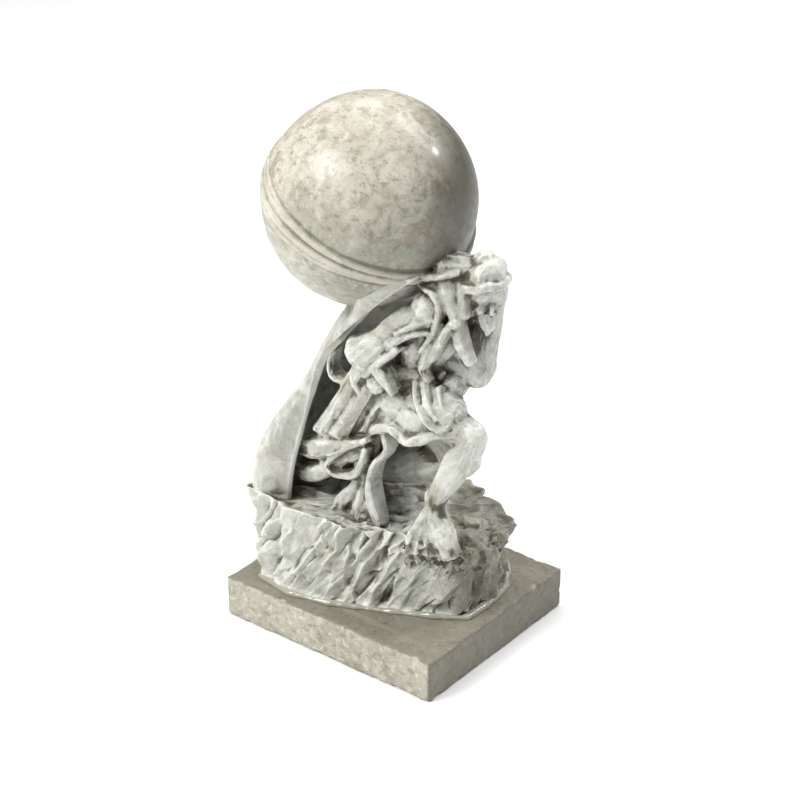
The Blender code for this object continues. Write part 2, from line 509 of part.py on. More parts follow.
def build():
    clear_scene()
    slab = stone("sawn stone", (0.36, 0.34, 0.28), 0.55)
    carved = stone("carved stone", (0.52, 0.53, 0.49), 0.5)
    plinth(slab)
    scale = STATUE_HEIGHT / DRAWN_HEIGHT
    forms = [rock(), boulder(), cloak(), *torso_and_head(), *arms(), *legs(), *tunic_and_coat(), *collar_and_sash()]
    statue = skin("statue", forms, carved,
                  (0, 0, PLINTH_HEIGHT - 0.001, scale))
    add_bed_cut(statue, PLINTH_HEIGHT)
    return statue


build()
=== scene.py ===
# %% [markdown]
# # A stone miner under his boulder
#
# A hand-carved stone statue: a man in tunic, coat and scarf crouches on a hewn rock and carries a huge
# boulder in a cloth sling, and his cloak falls behind him from the boulder to the rock. It stands on a
# sawn slab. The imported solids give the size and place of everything. This script gives the looks.

# %% Load the fixed frame
from itertools import product

import bpy
import numpy as np
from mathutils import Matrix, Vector


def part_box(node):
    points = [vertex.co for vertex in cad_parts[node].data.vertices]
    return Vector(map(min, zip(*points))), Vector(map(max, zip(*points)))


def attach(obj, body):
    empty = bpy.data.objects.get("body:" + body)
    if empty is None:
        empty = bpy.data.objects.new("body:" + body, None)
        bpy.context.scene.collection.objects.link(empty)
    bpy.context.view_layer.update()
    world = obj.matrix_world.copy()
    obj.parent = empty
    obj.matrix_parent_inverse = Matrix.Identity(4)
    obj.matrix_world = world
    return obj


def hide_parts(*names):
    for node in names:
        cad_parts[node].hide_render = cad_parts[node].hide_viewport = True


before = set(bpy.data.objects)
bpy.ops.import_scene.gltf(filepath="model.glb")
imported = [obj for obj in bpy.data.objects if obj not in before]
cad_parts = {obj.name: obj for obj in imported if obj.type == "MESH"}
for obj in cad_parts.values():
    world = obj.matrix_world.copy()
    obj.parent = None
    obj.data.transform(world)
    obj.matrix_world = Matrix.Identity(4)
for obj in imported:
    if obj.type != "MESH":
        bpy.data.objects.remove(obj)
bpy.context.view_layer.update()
statue_low, statue_high = (np.array(corner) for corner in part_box("statue"))
plinth_low, plinth_high = (np.array(corner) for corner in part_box("plinth"))
MM = 0.001
BED = plinth_high[2] - MM
print("statue box", statue_low.round(4), statue_high.round(4))

# %% [markdown]
# ## Forms drawn as rings of points
#
# A carver roughs a figure out of simple masses: a thigh is a tapering tube, a shoulder an egg, a coat
# tail a bent plate. Each mass here is a grid of points worked out in one go. Its rows are rings along
# the form and its columns run round it. Positions are in millimetres above the bed, and become metres
# only when a mesh is made.

# %% Curves and rings
def unit(vectors):
    """Each vector divided by its length."""
    return vectors / np.maximum(np.linalg.norm(vectors, axis=-1, keepdims=True), 1e-9)


def smooth_path(points, count):
    """Catmull-Rom: a cubic between each two points whose slope at a point is half the step across it."""
    points = np.asarray(points, float)
    ends = np.vstack((2 * points[0] - points[1], points, 2 * points[-1] - points[-2]))
    at = np.linspace(0, len(points) - 1, count)
    i = np.minimum(at.astype(int), len(points) - 2)
    t = (at - i)[:, None]
    a, b, c, d = ends[i], ends[i + 1], ends[i + 2], ends[i + 3]
    return 0.5 * (2 * b + (c - a) * t + (2 * a - 5 * b + 4 * c - d) * t**2 + (3 * b - a - 3 * c + d) * t**3)


def round_end(station, outward):
    """An end station copied outwards in a quarter round: out by r cos(turn), widths times sin(turn)."""
    share = np.sin(np.linspace(0.2, 1.4, 6))
    reach = np.sqrt(1 - share**2)
    radius = station[3:].min()
    return [np.r_[station[:3] + outward * radius * r, station[3:] * s] for r, s in zip(reach, share)]


def tube(path, steps=40, around=40, facing=(0, 1, 0), folds=None, square=1.0):
    """Ellipses along a path of (x, y, z, half width, half depth), with round ends.

    A point is centre + width cos(angle) * wide + depth sin(angle) * deep, and folds(along, angle) scales it.
    A square under 1 raises the cosine and the sine to that power, which turns the ellipse into a box.
    """
    line = smooth_path(path, steps)
    before = round_end(line[0], unit(line[0, :3] - line[1, :3]))
    after = round_end(line[-1], unit(line[-1, :3] - line[-2, :3]))
    line = np.vstack((before, line, after[::-1]))
    along = unit(np.gradient(line[:, :3], axis=0))
    deep = unit(np.cross(along, np.asarray(facing, float)))
    wide = np.cross(deep, along)
    angle = np.linspace(0, 2 * np.pi, around, endpoint=False)
    scale = 1.0 if folds is None else folds(np.linspace(0, 1, len(line))[:, None], angle[None, :])
    wide_share = np.sign(np.cos(angle)) * np.abs(np.cos(angle)) ** square
    deep_share = np.sign(np.sin(angle)) * np.abs(np.sin(angle)) ** square
    wide_part = (line[:, 3:4] * wide_share * scale)[..., None] * wide[:, None]
    deep_part = (line[:, 4:5] * deep_share * scale)[..., None] * deep[:, None]
    return line[:, None, :3] + wide_part + deep_part


def egg(centre, radii, axis=(0, 0, 1), rings=30, around=40):
    """An ellipsoid: r1 and r2 times sin(polar) round its axis, and r3 cos(polar) along it."""
    axis = unit(np.asarray(axis, float))
    wide = unit(np.cross((0.0, 1.0, 0.0), axis)) if abs(axis[1]) < 0.9 else np.array((1.0, 0.0, 0.0))
    deep = np.cross(axis, wide)
    polar = np.linspace(0.02, np.pi - 0.02, rings)[:, None, None]
    angle = np.linspace(0, 2 * np.pi, around, endpoint=False)[None, :, None]
    out = radii[0] * np.cos(angle) * wide + radii[1] * np.sin(angle) * deep
    return np.asarray(centre, float) - np.cos(polar) * radii[2] * axis + np.sin(polar) * out


def plate(grid, thickness):
    """A bent sheet given a thickness: each row goes out along one face and comes back along the other."""
    grid = np.asarray(grid, float)
    normal = unit(np.cross(np.gradient(grid, axis=0), np.gradient(grid, axis=1)))
    half = normal * np.asarray(thickness, float)[..., None] / 2
    return np.concatenate((grid + half, (grid - half)[:, ::-1]), axis=1)


def limb(*stations, **how):
    """A tube through (place, (half width, half depth)) stations."""
    return tube([(*place, *radii) for place, radii in stations], **how)


def between(a, b, share):
    """The place that share of the way from a to b."""
    return a + (b - a) * share


def ribs(depth, count, phase=0.0, twist=0.0):
    """Folds that wind along a form, sharp on their crests, and die out at its ends."""
    return lambda along, angle: 1 + depth * np.sin(np.pi * along) * (
        1 - 2 * np.abs(np.sin(0.5 * (count * angle + phase + twist * along)))
    )


print("ring helpers ready")

# %% [markdown]
# ## Chance that stays the same
#
# Stone needs irregularity, but each run must give the same statue. So chance comes from a hash: whole
# numbers stirred by multiplication, always the same for the same cell of space. Three patterns are built
# on it. Hills are soft lumps. Scoops are what a gouge leaves: scattered hollows that meet in sharp ridges.
# Chips are what a flat chisel leaves: planes of chance height and slope.

# %% Hashed hills, scoops and chips
# Large odd numbers that scatter the bits: one for each number of a cell, one for the seed, two for later
CELL_STIR = (73856093, 19349663, 83492791)
SEED_STIR = 2654435761
FIRST_STIR = 1274126177
LAST_STIR = 2246822519


def chance(cell, seed):
    """A number from 0 to 1 for each row of three whole numbers."""
    mixed = cell[:, 0] * CELL_STIR[0] ^ cell[:, 1] * CELL_STIR[1] ^ cell[:, 2] * CELL_STIR[2]
    mixed = mixed ^ (seed * SEED_STIR)
    mixed = (mixed ^ (mixed >> 13)) * FIRST_STIR & 0xFFFFFFFF
    mixed = (mixed ^ (mixed >> 16)) * LAST_STIR & 0xFFFFFFFF
    return ((mixed >> 8) & 0xFFFF) / 65535.0


def hills(points, size, seed=0):
    """Random heights, -1 to 1, on a lattice of that size, blended between its corners with 3f^2 - 2f^3."""
    place = points / size
    corner = np.floor(place).astype(np.int64)
    part = place - corner
    part = part * part * (3 - 2 * part)
    total = np.zeros(len(points))
    for step in product((0, 1), repeat=3):
        weight = np.prod(np.where(step, part, 1 - part), axis=1)
        total += weight * chance(corner + step, seed)
    return 2 * total - 1


def scoops(points, size, seed=0):
    """For each point: the distance to the nearest scattered centre, as a share of the size."""
    place = points / size
    home = np.floor(place).astype(np.int64)
    near = np.full(len(points), 9.0)
    for step in product((-1, 0, 1), repeat=3):
        cell = home + step
        centre = cell + np.stack([chance(cell, seed + k) for k in (1, 2, 3)], axis=1)
        near = np.minimum(near, np.linalg.norm(place - centre, axis=1))
    return near


def chips(points, size, seed=0):
    """Flat chips: each point takes a random height and a random slope from its nearest scattered centre."""
    place = points / size
    home = np.floor(place).astype(np.int64)
    near = np.full(len(points), 9.0)
    height = np.zeros(len(points))
    for step in product((-1, 0, 1), repeat=3):
        cell = home + step
        centre = cell + np.stack([chance(cell, seed + k) for k in (1, 2, 3)], axis=1)
        slope = np.stack([chance(cell, seed + k) for k in (4, 5, 6)], axis=1) - 0.5
        gap = np.linalg.norm(place - centre, axis=1)
        plane = chance(cell, seed + 7) + 1.6 * np.einsum("ij,ij->i", place - centre, slope)
        height = np.where(gap < near, plane, height)
        near = np.minimum(near, gap)
    return height


trial = np.random.default_rng(1).uniform(0, 100, (1000, 3))
print("hills spread", hills(trial, 7).std().round(3), "scoops mean", scoops(trial, 7).mean().round(3))

# %% [markdown]
# ## From points to a piece
#
# The masses of a figure overlap as clay sausages do. A voxel remesh wraps one skin round them all. It is
# then pared down to a few thousand flat facets, the planes that a chisel leaves, and each facet is parted
# finely, so that small cuts can be made in it. Each piece gets two attributes: relief says how far a
# point stands above its near surroundings, and hollow says the same of a wider stretch. The materials
# use them to paint highlight on the ridges and shade in the hollows.

# %% Mesh helpers
def ring_faces(rows, around):
    """Quads between neighbouring rings, and a fan of triangles to one added point at each end."""
    i, j = np.meshgrid(np.arange(rows - 1), np.arange(around), indexing="ij")
    k = (j + 1) % around
    quads = np.stack((i * around + j, i * around + k, (i + 1) * around + k, (i + 1) * around + j), axis=-1)
    j = np.arange(around)
    k = (j + 1) % around
    first = np.stack((np.full(around, rows * around), k, j), axis=-1)
    last_row = (rows - 1) * around
    last = np.stack((np.full(around, rows * around + 1), last_row + j, last_row + k), axis=-1)
    return quads.reshape(-1, 4), np.vstack((first, last))


def closed_form(rings):
    """Points and faces of a closed form from its rings, turned so that its volume is positive."""
    rows, around = rings.shape[:2]
    points = np.vstack((rings.reshape(-1, 3), rings[0].mean(axis=0), rings[-1].mean(axis=0)))
    quads, fans = ring_faces(rows, around)
    middle = points.mean(axis=0)
    a, b, c = (points[quads[:, n]] - middle for n in (0, 1, 2))
    if np.einsum("ij,ij->i", a, np.cross(b, c)).sum() < 0:
        quads, fans = quads[:, ::-1], fans[:, ::-1]
    return points, quads, fans


def make_mesh(name, points, faces):
    """A Blender object from points in millimetres above the bed and a list of faces."""
    mesh = bpy.data.meshes.new(name)
    mesh.from_pydata((points * MM + (0, 0, BED)).tolist(), [], faces)
    mesh.validate()
    thing = bpy.data.objects.new(name, mesh)
    bpy.context.scene.collection.objects.link(thing)
    return thing


def evaluated_arrays(thing):
    """Points in millimetres above the bed, and quads and triangles, with the modifiers applied."""
    graph = bpy.context.evaluated_depsgraph_get()
    mesh = bpy.data.meshes.new_from_object(thing.evaluated_get(graph))
    points = np.empty(len(mesh.vertices) * 3, np.float32)
    mesh.vertices.foreach_get("co", points)
    points = (points.reshape(-1, 3).astype(float) - (0, 0, BED)) / MM
    loops = np.empty(len(mesh.loops), np.int64)
    mesh.loops.foreach_get("vertex_index", loops)
    sizes = np.empty(len(mesh.polygons), np.int64)
    mesh.polygons.foreach_get("loop_total", sizes)
    starts = np.r_[0, np.cumsum(sizes)[:-1]]
    quads = loops[starts[sizes == 4][:, None] + np.arange(4)]
    triangles = loops[starts[sizes == 3][:, None] + np.arange(3)]
    bpy.data.meshes.remove(mesh)
    return points, quads, triangles


def one_skin(name, forms, step, facets):
    """Wraps closed forms in one skin, pares it down to about that many flat facets, and parts each finely."""
    points, faces, count = [], [], 0
    for rings in forms:
        form, quads, fans = closed_form(rings)
        points.append(form)
        faces += (quads + count).tolist() + (fans + count).tolist()
        count += len(form)
    rough = make_mesh(name, np.vstack(points), faces)
    remesh = rough.modifiers.new("skin", "REMESH")
    remesh.mode = "VOXEL"
    remesh.voxel_size = step * MM
    whole = 2 * len(evaluated_arrays(rough)[1])
    pared = rough.modifiers.new("pared", "DECIMATE")
    pared.ratio = facets / whole
    parted = rough.modifiers.new("parted", "SUBSURF")
    parted.subdivision_type = "SIMPLE"
    parted.levels = parted.render_levels = 2
    skin = evaluated_arrays(rough)
    bpy.data.objects.remove(rough)
    return skin


def edges_of(quads, triangles):
    """Each edge once, as pairs of point numbers."""
    pairs = [quads[:, [n, (n + 1) % 4]] for n in range(4)]
    pairs += [triangles[:, [n, (n + 1) % 3]] for n in range(3)]
    return np.unique(np.sort(np.vstack(pairs), axis=1), axis=0)


def relaxed(points, edges, rounds):
    """Each point moved half way to the mean of its neighbours, as many times as asked."""
    count = len(points)
    a, b = edges.T
    degree = np.maximum(np.bincount(a, minlength=count) + np.bincount(b, minlength=count), 1)
    for _ in range(rounds):
        pull = np.stack([
            np.bincount(a, points[b, n], count) + np.bincount(b, points[a, n], count) for n in range(3)
        ], axis=1)
        points = 0.5 * points + 0.5 * pull / degree[:, None]
    return points


def normals_of(points, quads, triangles):
    """The mean of the face normals round each point, weighted by face area."""
    total = np.zeros_like(points)
    for faces, (n, o) in ((quads, ((0, 2), (1, 3))), (triangles, ((0, 1), (0, 2)))):
        if len(faces):
            cross = np.cross(points[faces[:, n[1]]] - points[faces[:, n[0]]],
                             points[faces[:, o[1]]] - points[faces[:, o[0]]])
            for column in range(faces.shape[1]):
                for axis in range(3):
                    total[:, axis] += np.bincount(faces[:, column], cross[:, axis], len(points))
    return unit(total)


# How many times a skin is relaxed to find its near and its wider surroundings
NEAR_ROUNDS = 14
BROAD_ROUNDS = 50


def finish_piece(name, points, quads, triangles, paint, nodes, slot):
    """Makes a shown piece: kept inside the frame's box, with its attributes, paint and place."""
    low = (np.minimum(statue_low, plinth_low) - (0, 0, BED)) / MM
    high = (statue_high - (0, 0, BED)) / MM
    if "statue" in nodes:
        points = np.clip(points, low, high)
    edges = edges_of(quads, triangles)
    wide = relaxed(points, edges, NEAR_ROUNDS)
    broad = relaxed(wide, edges, BROAD_ROUNDS)
    normal = normals_of(points, quads, triangles)
    relief = np.einsum("ij,ij->i", points - wide, normal)
    hollow = np.einsum("ij,ij->i", wide - broad, normal)
    thing = make_mesh(name, points, quads.tolist() + triangles.tolist())
    mesh = thing.data
    for label, values in (("relief", relief), ("hollow", hollow)):
        layer = mesh.attributes.new(label, "FLOAT", "POINT")
        layer.data.foreach_set("value", values.astype(np.float32))
    mesh.polygons.foreach_set("use_smooth", np.ones(len(mesh.polygons), bool))
    mesh.materials.append(paint)
    count = 2 * len(quads) + len(triangles)
    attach(thing, "root")
    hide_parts(*nodes)
    print(name, count, "triangles, relief", relief.std().round(3), "hollow", hollow.std().round(3))
    return thing


print("mesh helpers ready")

# %% [markdown]
# ## Shader sums as plain Python
#
# A stone's colour is a sum of patterns. Wire wraps a socket so that patterns can be added and multiplied
# as numbers are, and Paint adds every other node through one method.

# %% Wires and paints
class Wire:
    """A value on its way through a material. Each operator adds one Math node."""

    def __init__(self, paint, socket):
        self.paint = paint
        self.socket = socket

    def sum(self, operation, first, second):
        return self.paint.node("ShaderNodeMath", {"operation": operation}, {0: first, 1: second})

    def __add__(self, other):
        return self.sum("ADD", self, other)

    def __radd__(self, other):
        return self.sum("ADD", other, self)

    def __sub__(self, other):
        return self.sum("SUBTRACT", self, other)

    def __rsub__(self, other):
        return self.sum("SUBTRACT", other, self)

    def __mul__(self, other):
        return self.sum("MULTIPLY", self, other)

    def __rmul__(self, other):
        return self.sum("MULTIPLY", other, self)


class Paint:
    """One material and its nodes."""

    def __init__(self, name):
        self.material = bpy.data.materials.new(name)
        self.material.use_nodes = True
        self.tree = self.material.node_tree
        self.shader = self.tree.nodes["Principled BSDF"]
        self.place = self.node("ShaderNodeTexCoord", {}, {}, "Object")

    def node(self, kind, settings, inputs, output=0):
        """Adds a node: first its settings, then its sockets' values or wires. Returns one output."""
        made = self.tree.nodes.new(kind)
        for key, value in settings.items():
            setattr(made, key, value)
        self.link(made, inputs)
        return Wire(self, made.outputs[output])

    def link(self, made, inputs):
        for key, value in inputs.items():
            socket = made.inputs[key]
            if isinstance(value, Wire):
                self.tree.links.new(value.socket, socket)
            else:
                socket.default_value = value

    def shade(self, inputs):
        """Sets or links the shader's own sockets."""
        self.link(self.shader, inputs)

    def noise(self, scale, detail=4.0, rough=0.55, bend=0.0, seed=0.0, squash=(1.0, 1.0, 1.0)):
        """Cloudy noise in object space: scale is in waves per metre."""
        moved = self.node("ShaderNodeMapping", {}, {
            "Vector": self.place, "Location": (seed, 2 * seed, -seed), "Scale": squash})
        return self.node("ShaderNodeTexNoise", {}, {
            "Vector": moved, "Scale": scale, "Detail": detail, "Roughness": rough, "Distortion": bend})

    def range(self, value, low, high, start=0.0, end=1.0):
        """Maps low..high onto start..end in a smooth S, and holds it at both ends."""
        return self.node("ShaderNodeMapRange", {"interpolation_type": "SMOOTHSTEP"}, {
            "Value": value, "From Min": low, "From Max": high, "To Min": start, "To Max": end}, "Result")

    def mix(self, factor, first, second):
        """One colour into another: sockets 6 and 7 are the two colours, and output 2 is their mix."""
        return self.node("ShaderNodeMix", {"data_type": "RGBA"}, {
            "Factor": factor, 6: first, 7: second}, 2)

    def attribute(self, name):
        return self.node("ShaderNodeAttribute", {"attribute_name": name}, {}, "Fac")

    def axis(self, name):
        return self.node("ShaderNodeSeparateXYZ", {}, {0: self.place}, name)

    def bump(self, height, strength, distance):
        inputs = {"Height": height, "Strength": strength, "Distance": distance}
        return self.node("ShaderNodeBump", {}, inputs, "Normal")


def colour(red, green, blue):
    """A colour given from 0 to 255 as a painter sees it, in the linear values that shaders take."""
    share = np.array((red, green, blue)) / 255
    return (*np.where(share <= 0.04045, share / 12.92, ((share + 0.055) / 1.055) ** 2.4).tolist(), 1.0)


print("paint helpers ready")

# %% [markdown]
# ## The stone
#
# The block is one grey-green limestone. Where it is cut it looks pale and dry with a soft sheen. On the
# polished boulder the same stone turns darker and warmer, with cream and tan clouds. The hollows and the
# buried places get painted shade in olive brown, the ridges get a painted highlight nearly white, and the
# right sides of the rock and the boulder get painted shade.

# %% Cut stone
def cut_stone():
    paint = Paint("cut stone")
    grey = colour(176, 177, 168)
    pale = colour(204, 205, 198)
    dull_green = colour(138, 141, 130)
    tan = colour(160, 150, 126)
    # Painted shade for the broad hollows, the buried places and the creases, and a painted highlight for the
    # ridges
    painted_hollow_shade = colour(100, 94, 73)
    painted_buried_shade = colour(84, 78, 57)
    painted_crease_shade = colour(78, 73, 55)
    painted_ridge_highlight = colour(226, 227, 219)
    # Painted shade for the right side, away from the key light
    painted_side_shade = colour(94, 88, 68)
    pale_grain = colour(228, 229, 222)
    dark_grain = colour(104, 102, 86)
    clouds = paint.noise(38.0, 5.0, 0.6, 0.4)
    patches = paint.noise(120.0, 4.0, 0.6, 0.2, seed=3.0)
    grain = paint.noise(900.0, 3.0, 0.6, seed=5.0)
    body = paint.mix(paint.range(clouds, 0.35, 0.65), grey, pale)
    body = paint.mix(paint.range(patches, 0.45, 0.7) * 0.6, body, dull_green)
    warm = paint.range(paint.noise(55.0, 3.0, 0.5, seed=9.0), 0.52, 0.68)
    body = paint.mix(warm * 0.4, body, tan)
    relief = paint.attribute("relief")
    hollow = paint.attribute("hollow")
    # Painted shade: olive brown in the broad hollows
    body = paint.mix(paint.range(hollow, -0.2, -1.3) * 0.7, body, painted_hollow_shade)
    # Painted shade: olive brown where the space in front of a point is full of stone
    buried = paint.attribute("buried")
    body = paint.mix(paint.range(buried + 0.12 * patches, 0.16, 0.38) * 0.9, body, painted_buried_shade)
    # Painted shade in the creases, where a point lies below its near surroundings
    crease_shade = paint.range(relief * -1.0 - 0.25 * hollow + 0.15 * patches, 0.12, 0.6)
    body = paint.mix(crease_shade * 0.9, body, painted_crease_shade)
    # Painted highlight: the ridges turn nearly white, and the same mask makes them a little less rough
    highlight_and_polish = paint.range(relief + 0.25 * hollow + 0.1 * grain, 0.12, 0.6)
    body = paint.mix(highlight_and_polish * 0.8, body, painted_ridge_highlight)
    # Painted shade on the right side of the rock, below its rim
    side = paint.axis("X") + paint.axis("Y") * 0.8 + 0.02 * clouds
    low = paint.range(paint.axis("Z"), 0.085, 0.07)
    body = paint.mix(paint.range(side, 0.045, 0.06) * low * 0.75, body, painted_side_shade)
    body = paint.mix(paint.range(grain, 0.56, 0.72) * 0.32, body, pale_grain)
    body = paint.mix(paint.range(grain, 0.44, 0.3) * 0.3, body, dark_grain)
    rough = paint.range(grain, 0.3, 0.7, 0.34, 0.56) - 0.08 * highlight_and_polish
    height = paint.noise(420.0, 4.0, 0.6, seed=2.0) * 0.7 + grain * 0.3
    paint.shade({
        "Base Color": body, "Roughness": rough, "Specular IOR Level": 0.5,
        "Normal": paint.bump(height, 0.6, 0.0008),
    })
    return paint.material


CUT_STONE = cut_stone()
print(CUT_STONE.name, len(CUT_STONE.node_tree.nodes), "nodes")

# %% Polished stone for the boulder
def polished_stone():
    paint = Paint("polished stone")
    green_grey = colour(158, 160, 146)
    warm_grey = colour(178, 173, 158)
    cream = colour(208, 205, 192)
    tan = colour(152, 137, 120)
    slate = colour(126, 126, 110)
    pale_mottle = colour(206, 201, 187)
    dark_mottle = colour(128, 120, 102)
    vein_brown = colour(118, 106, 90)
    # Painted shade for the sling's grooves and a painted highlight for its crests
    painted_groove_shade = colour(92, 88, 68)
    painted_crest_highlight = colour(214, 210, 196)
    # Painted shade for the boulder's right edge
    painted_side_shade = colour(62, 60, 46)
    height = paint.axis("Z")
    clouds = paint.noise(26.0, 6.0, 0.62, 0.8)
    patches = paint.noise(70.0, 5.0, 0.65, 0.5, seed=4.0)
    mottle = paint.noise(240.0, 4.0, 0.65, seed=7.0)
    grain = paint.noise(1100.0, 2.0, 0.5, seed=5.0)
    upper = paint.range(height + 0.05 * clouds, 0.25, 0.335)
    body = paint.mix(upper, green_grey, warm_grey)
    body = paint.mix(paint.range(clouds, 0.45, 0.62) * 0.7, body, cream)
    body = paint.mix(paint.range(patches, 0.52, 0.66) * 0.65, body, tan)
    body = paint.mix(paint.range(patches, 0.48, 0.34) * 0.55, body, slate)
    body = paint.mix(paint.range(mottle, 0.54, 0.68) * 0.5, body, pale_mottle)
    body = paint.mix(paint.range(mottle, 0.46, 0.34) * 0.6, body, dark_mottle)
    veins = paint.noise(34.0, 8.0, 0.7, 2.5, seed=12.0)
    vein = paint.range(veins, 0.485, 0.5) * paint.range(veins, 0.515, 0.5)
    body = paint.mix(vein * 0.5, body, vein_brown)
    relief = paint.attribute("relief")
    # Painted shade in the grooves and painted highlight on the crests of the sling
    body = paint.mix(paint.range(relief, -0.02, -0.2) * 0.7, body, painted_groove_shade)
    body = paint.mix(paint.range(relief, 0.04, 0.2) * 0.5, body, painted_crest_highlight)
    # Painted shade on the boulder's right edge, where it turns from the key light
    side = 0.786 * paint.axis("X") + 0.618 * paint.axis("Y") + 0.006 * patches
    body = paint.mix(paint.range(side, 0.006, 0.044) * 0.92, body, painted_side_shade)
    rough = paint.range(mottle, 0.3, 0.7, 0.38, 0.54)
    lumps = paint.noise(160.0, 3.0, 0.5, seed=6.0) * 0.6 + grain * 0.15
    paint.shade({
        "Base Color": body, "Roughness": rough, "Coat Weight": 0.12, "Coat Roughness": 0.12,
        "Normal": paint.bump(lumps, 0.25, 0.0007),
    })
    return paint.material


POLISHED_STONE = polished_stone()
print(POLISHED_STONE.name, len(POLISHED_STONE.node_tree.nodes), "nodes")

# %% Sawn stone for the plinth
def sawn_stone():
    paint = Paint("sawn stone")
    grey = colour(160, 156, 141)
    pale = colour(186, 183, 169)
    pale_fleck = colour(218, 214, 200)
    dark_fleck = colour(120, 114, 97)
    darker_top = colour(112, 107, 94)
    pale_streak = colour(158, 152, 137)
    # Painted shade for the right face
    painted_right_face_shade = colour(84, 79, 66)
    pit_dust = colour(100, 94, 78)
    height = paint.axis("Z")
    clouds = paint.noise(30.0, 5.0, 0.6, 0.5, seed=1.0)
    flecks = paint.noise(210.0, 5.0, 0.7, 0.6, seed=4.0)
    pits = paint.noise(420.0, 3.0, 0.6, seed=8.0)
    streaks = paint.noise(60.0, 4.0, 0.6, 1.2, seed=2.0, squash=(0.35, 1.6, 1.0))
    body = paint.mix(paint.range(clouds, 0.35, 0.65), grey, pale)
    body = paint.mix(paint.range(flecks, 0.52, 0.66) * 0.75, body, pale_fleck)
    body = paint.mix(paint.range(flecks, 0.48, 0.36) * 0.6, body, dark_fleck)
    # The top is darker than the sides
    top = paint.range(height, 0.0242, 0.0249)
    body = paint.mix(top * 0.75, body, darker_top)
    body = paint.mix(paint.range(streaks, 0.52, 0.64) * top * 0.45, body, pale_streak)
    # Painted shade on the right face, which turns away from the key light
    right_face_mask = paint.range(paint.axis("X"), 0.0745, 0.076)
    body = paint.mix(right_face_mask * 0.7, body, painted_right_face_shade)
    body = paint.mix(paint.range(pits, 0.62, 0.72) * 0.6, body, pit_dust)
    rough = paint.range(flecks, 0.3, 0.7, 0.5, 0.66) - 0.24 * top
    depth = paint.noise(300.0, 4.0, 0.6, seed=3.0) - 1.2 * paint.range(pits, 0.6, 0.72)
    paint.shade({
        "Base Color": body, "Roughness": rough,
        "Normal": paint.bump(depth, 0.4, 0.0006),
    })
    return paint.material


SAWN_STONE = sawn_stone()
print(SAWN_STONE.name, len(SAWN_STONE.node_tree.nodes), "nodes")

# %% [markdown]
# ## The boulder
#
# The boulder is nearly a true ball. A sling of cloth holds it from below: its folds sweep round the ball
# in nearly level bands and close up towards the man's shoulder. So the rings of the ball are laid square
# to the sling's own tilt, and every fold follows a ring. A fold is a raised bell curve across its band.

# %% Boulder
BOULDER_RADIUS = 60.0
BOULDER_CENTRE = np.array((-14.5, -3.0, 237.0))
SLING_TILT = unit(np.array((0.40, -0.04, 0.915)))
SLING_GATHER = unit(np.array((0.85, -0.05, -0.51)))
FLATTENED_SIDE = unit(np.array((-0.7, 0.0, 0.7)))
# Each fold of the sling: its level on the ball, how far it stands out in millimetres, and its width
SLING_FOLDS = (
    (0.15, 0.9, 0.022), (0.10, 1.3, 0.02), (0.045, 0.8, 0.025), (-0.01, 1.0, 0.02), (-0.06, 1.4, 0.025),
    (-0.13, 1.2, 0.035), (-0.2, 0.7, 0.03),
)


def boulder_rings(rings=220, around=400):
    """A sphere whose radius grows by a bell curve on each fold of the sling and shrinks in its grooves."""
    way = unit(egg((0, 0, 0), (1, 1, 1), axis=SLING_TILT, rings=rings, around=around))
    level = way @ SLING_TILT
    rear = 0.5 - 0.5 * way @ SLING_GATHER
    flat = way.reshape(-1, 3)
    radius = BOULDER_RADIUS * (1 - 0.02 * np.clip(way @ FLATTENED_SIDE - 0.75, 0, 1) / 0.25)
    sway = 0.012 * hills(flat * 60, 30, 3).reshape(level.shape)
    for start, height, width in SLING_FOLDS:
        centre = -0.1 + (start + 0.1) * (0.3 + 0.7 * rear) + sway
        radius = radius + height * np.exp(-(((level - centre) / width) ** 2))
    lumps = 0.35 * hills(flat * 60, 26, 5) + 0.12 * hills(flat * 60, 9, 6)
    cloth = 1 / (1 + np.exp((level - 0.12) / 0.02))
    creases = 0.35 * np.abs(hills(flat * (60, 60, 150), 14, 8)).reshape(level.shape)
    return BOULDER_CENTRE + way * (radius + lumps.reshape(level.shape) - cloth * creases)[..., None]


boulder = finish_piece("boulder", *closed_form(boulder_rings()), POLISHED_STONE, ["statue"], "carved_stone")

# %% [markdown]
# ## The rock
#
# The rock is hewn with a gouge. Its outline on the slab and its rim are two closed lines, and the wall
# between them leans and swells. The gouge left slanting scoops, taller than wide, that meet in sharp
# ridges, and flat chips between them. The top is trodden and rippled.

# %% Rock
ROCK_FOOT = ((-62, -55), (-34, -60), (-8, -54), (9, -47), (33, -36), (52, -26), (67, -16), (68, 7),
             (65, 29), (49, 53), (20, 59), (-20, 58), (-59, 53), (-70, 25), (-70, -20))
ROCK_RIM = ((-74.5, -51), (-38, -54), (-16, -52), (4, -48), (31, -32), (50, -24), (65, -12), (69, 10),
            (68, 33), (46, 42), (18, 49), (-20, 50), (-61, 47), (-75, 22), (-75, -20))
ROCK_RIM_HEIGHT = (57, 56, 54, 53, 52, 47, 44, 44, 45, 51, 55, 57, 57, 57, 57)
ROCK_MIDDLE = (5, -4, 0)
WALL_RINGS = 86
TOP_RINGS = 44
# How far a gouge mark leans sideways for each millimetre that it climbs
GOUGE_LEAN = np.array((0.55, 0.35, 0.0))
# How deep each kind of mark goes, in millimetres
LONG_CUT_DEPTH = 6.5
SHORT_CUT_DEPTH = 1.2
CHIP_DEPTH = 2.2
LUMP_DEPTH = 2.0
FOOT_HOLLOW_DEPTH = 4.0
GRAIN_DEPTH = 0.15


def closed_path(points, count):
    """A closed outline with straight sides, read at even steps and slightly rounded at its corners."""
    points = np.asarray(points, float)
    at = np.linspace(0, len(points), count, endpoint=False)
    i = at.astype(int)
    t = (at - i)[:, None]
    line = points[i] * (1 - t) + points[(i + 1) % len(points)] * t
    for _ in range(count // 60):
        line = 0.5 * line + 0.25 * (np.roll(line, 1, axis=0) + np.roll(line, -1, axis=0))
    return line


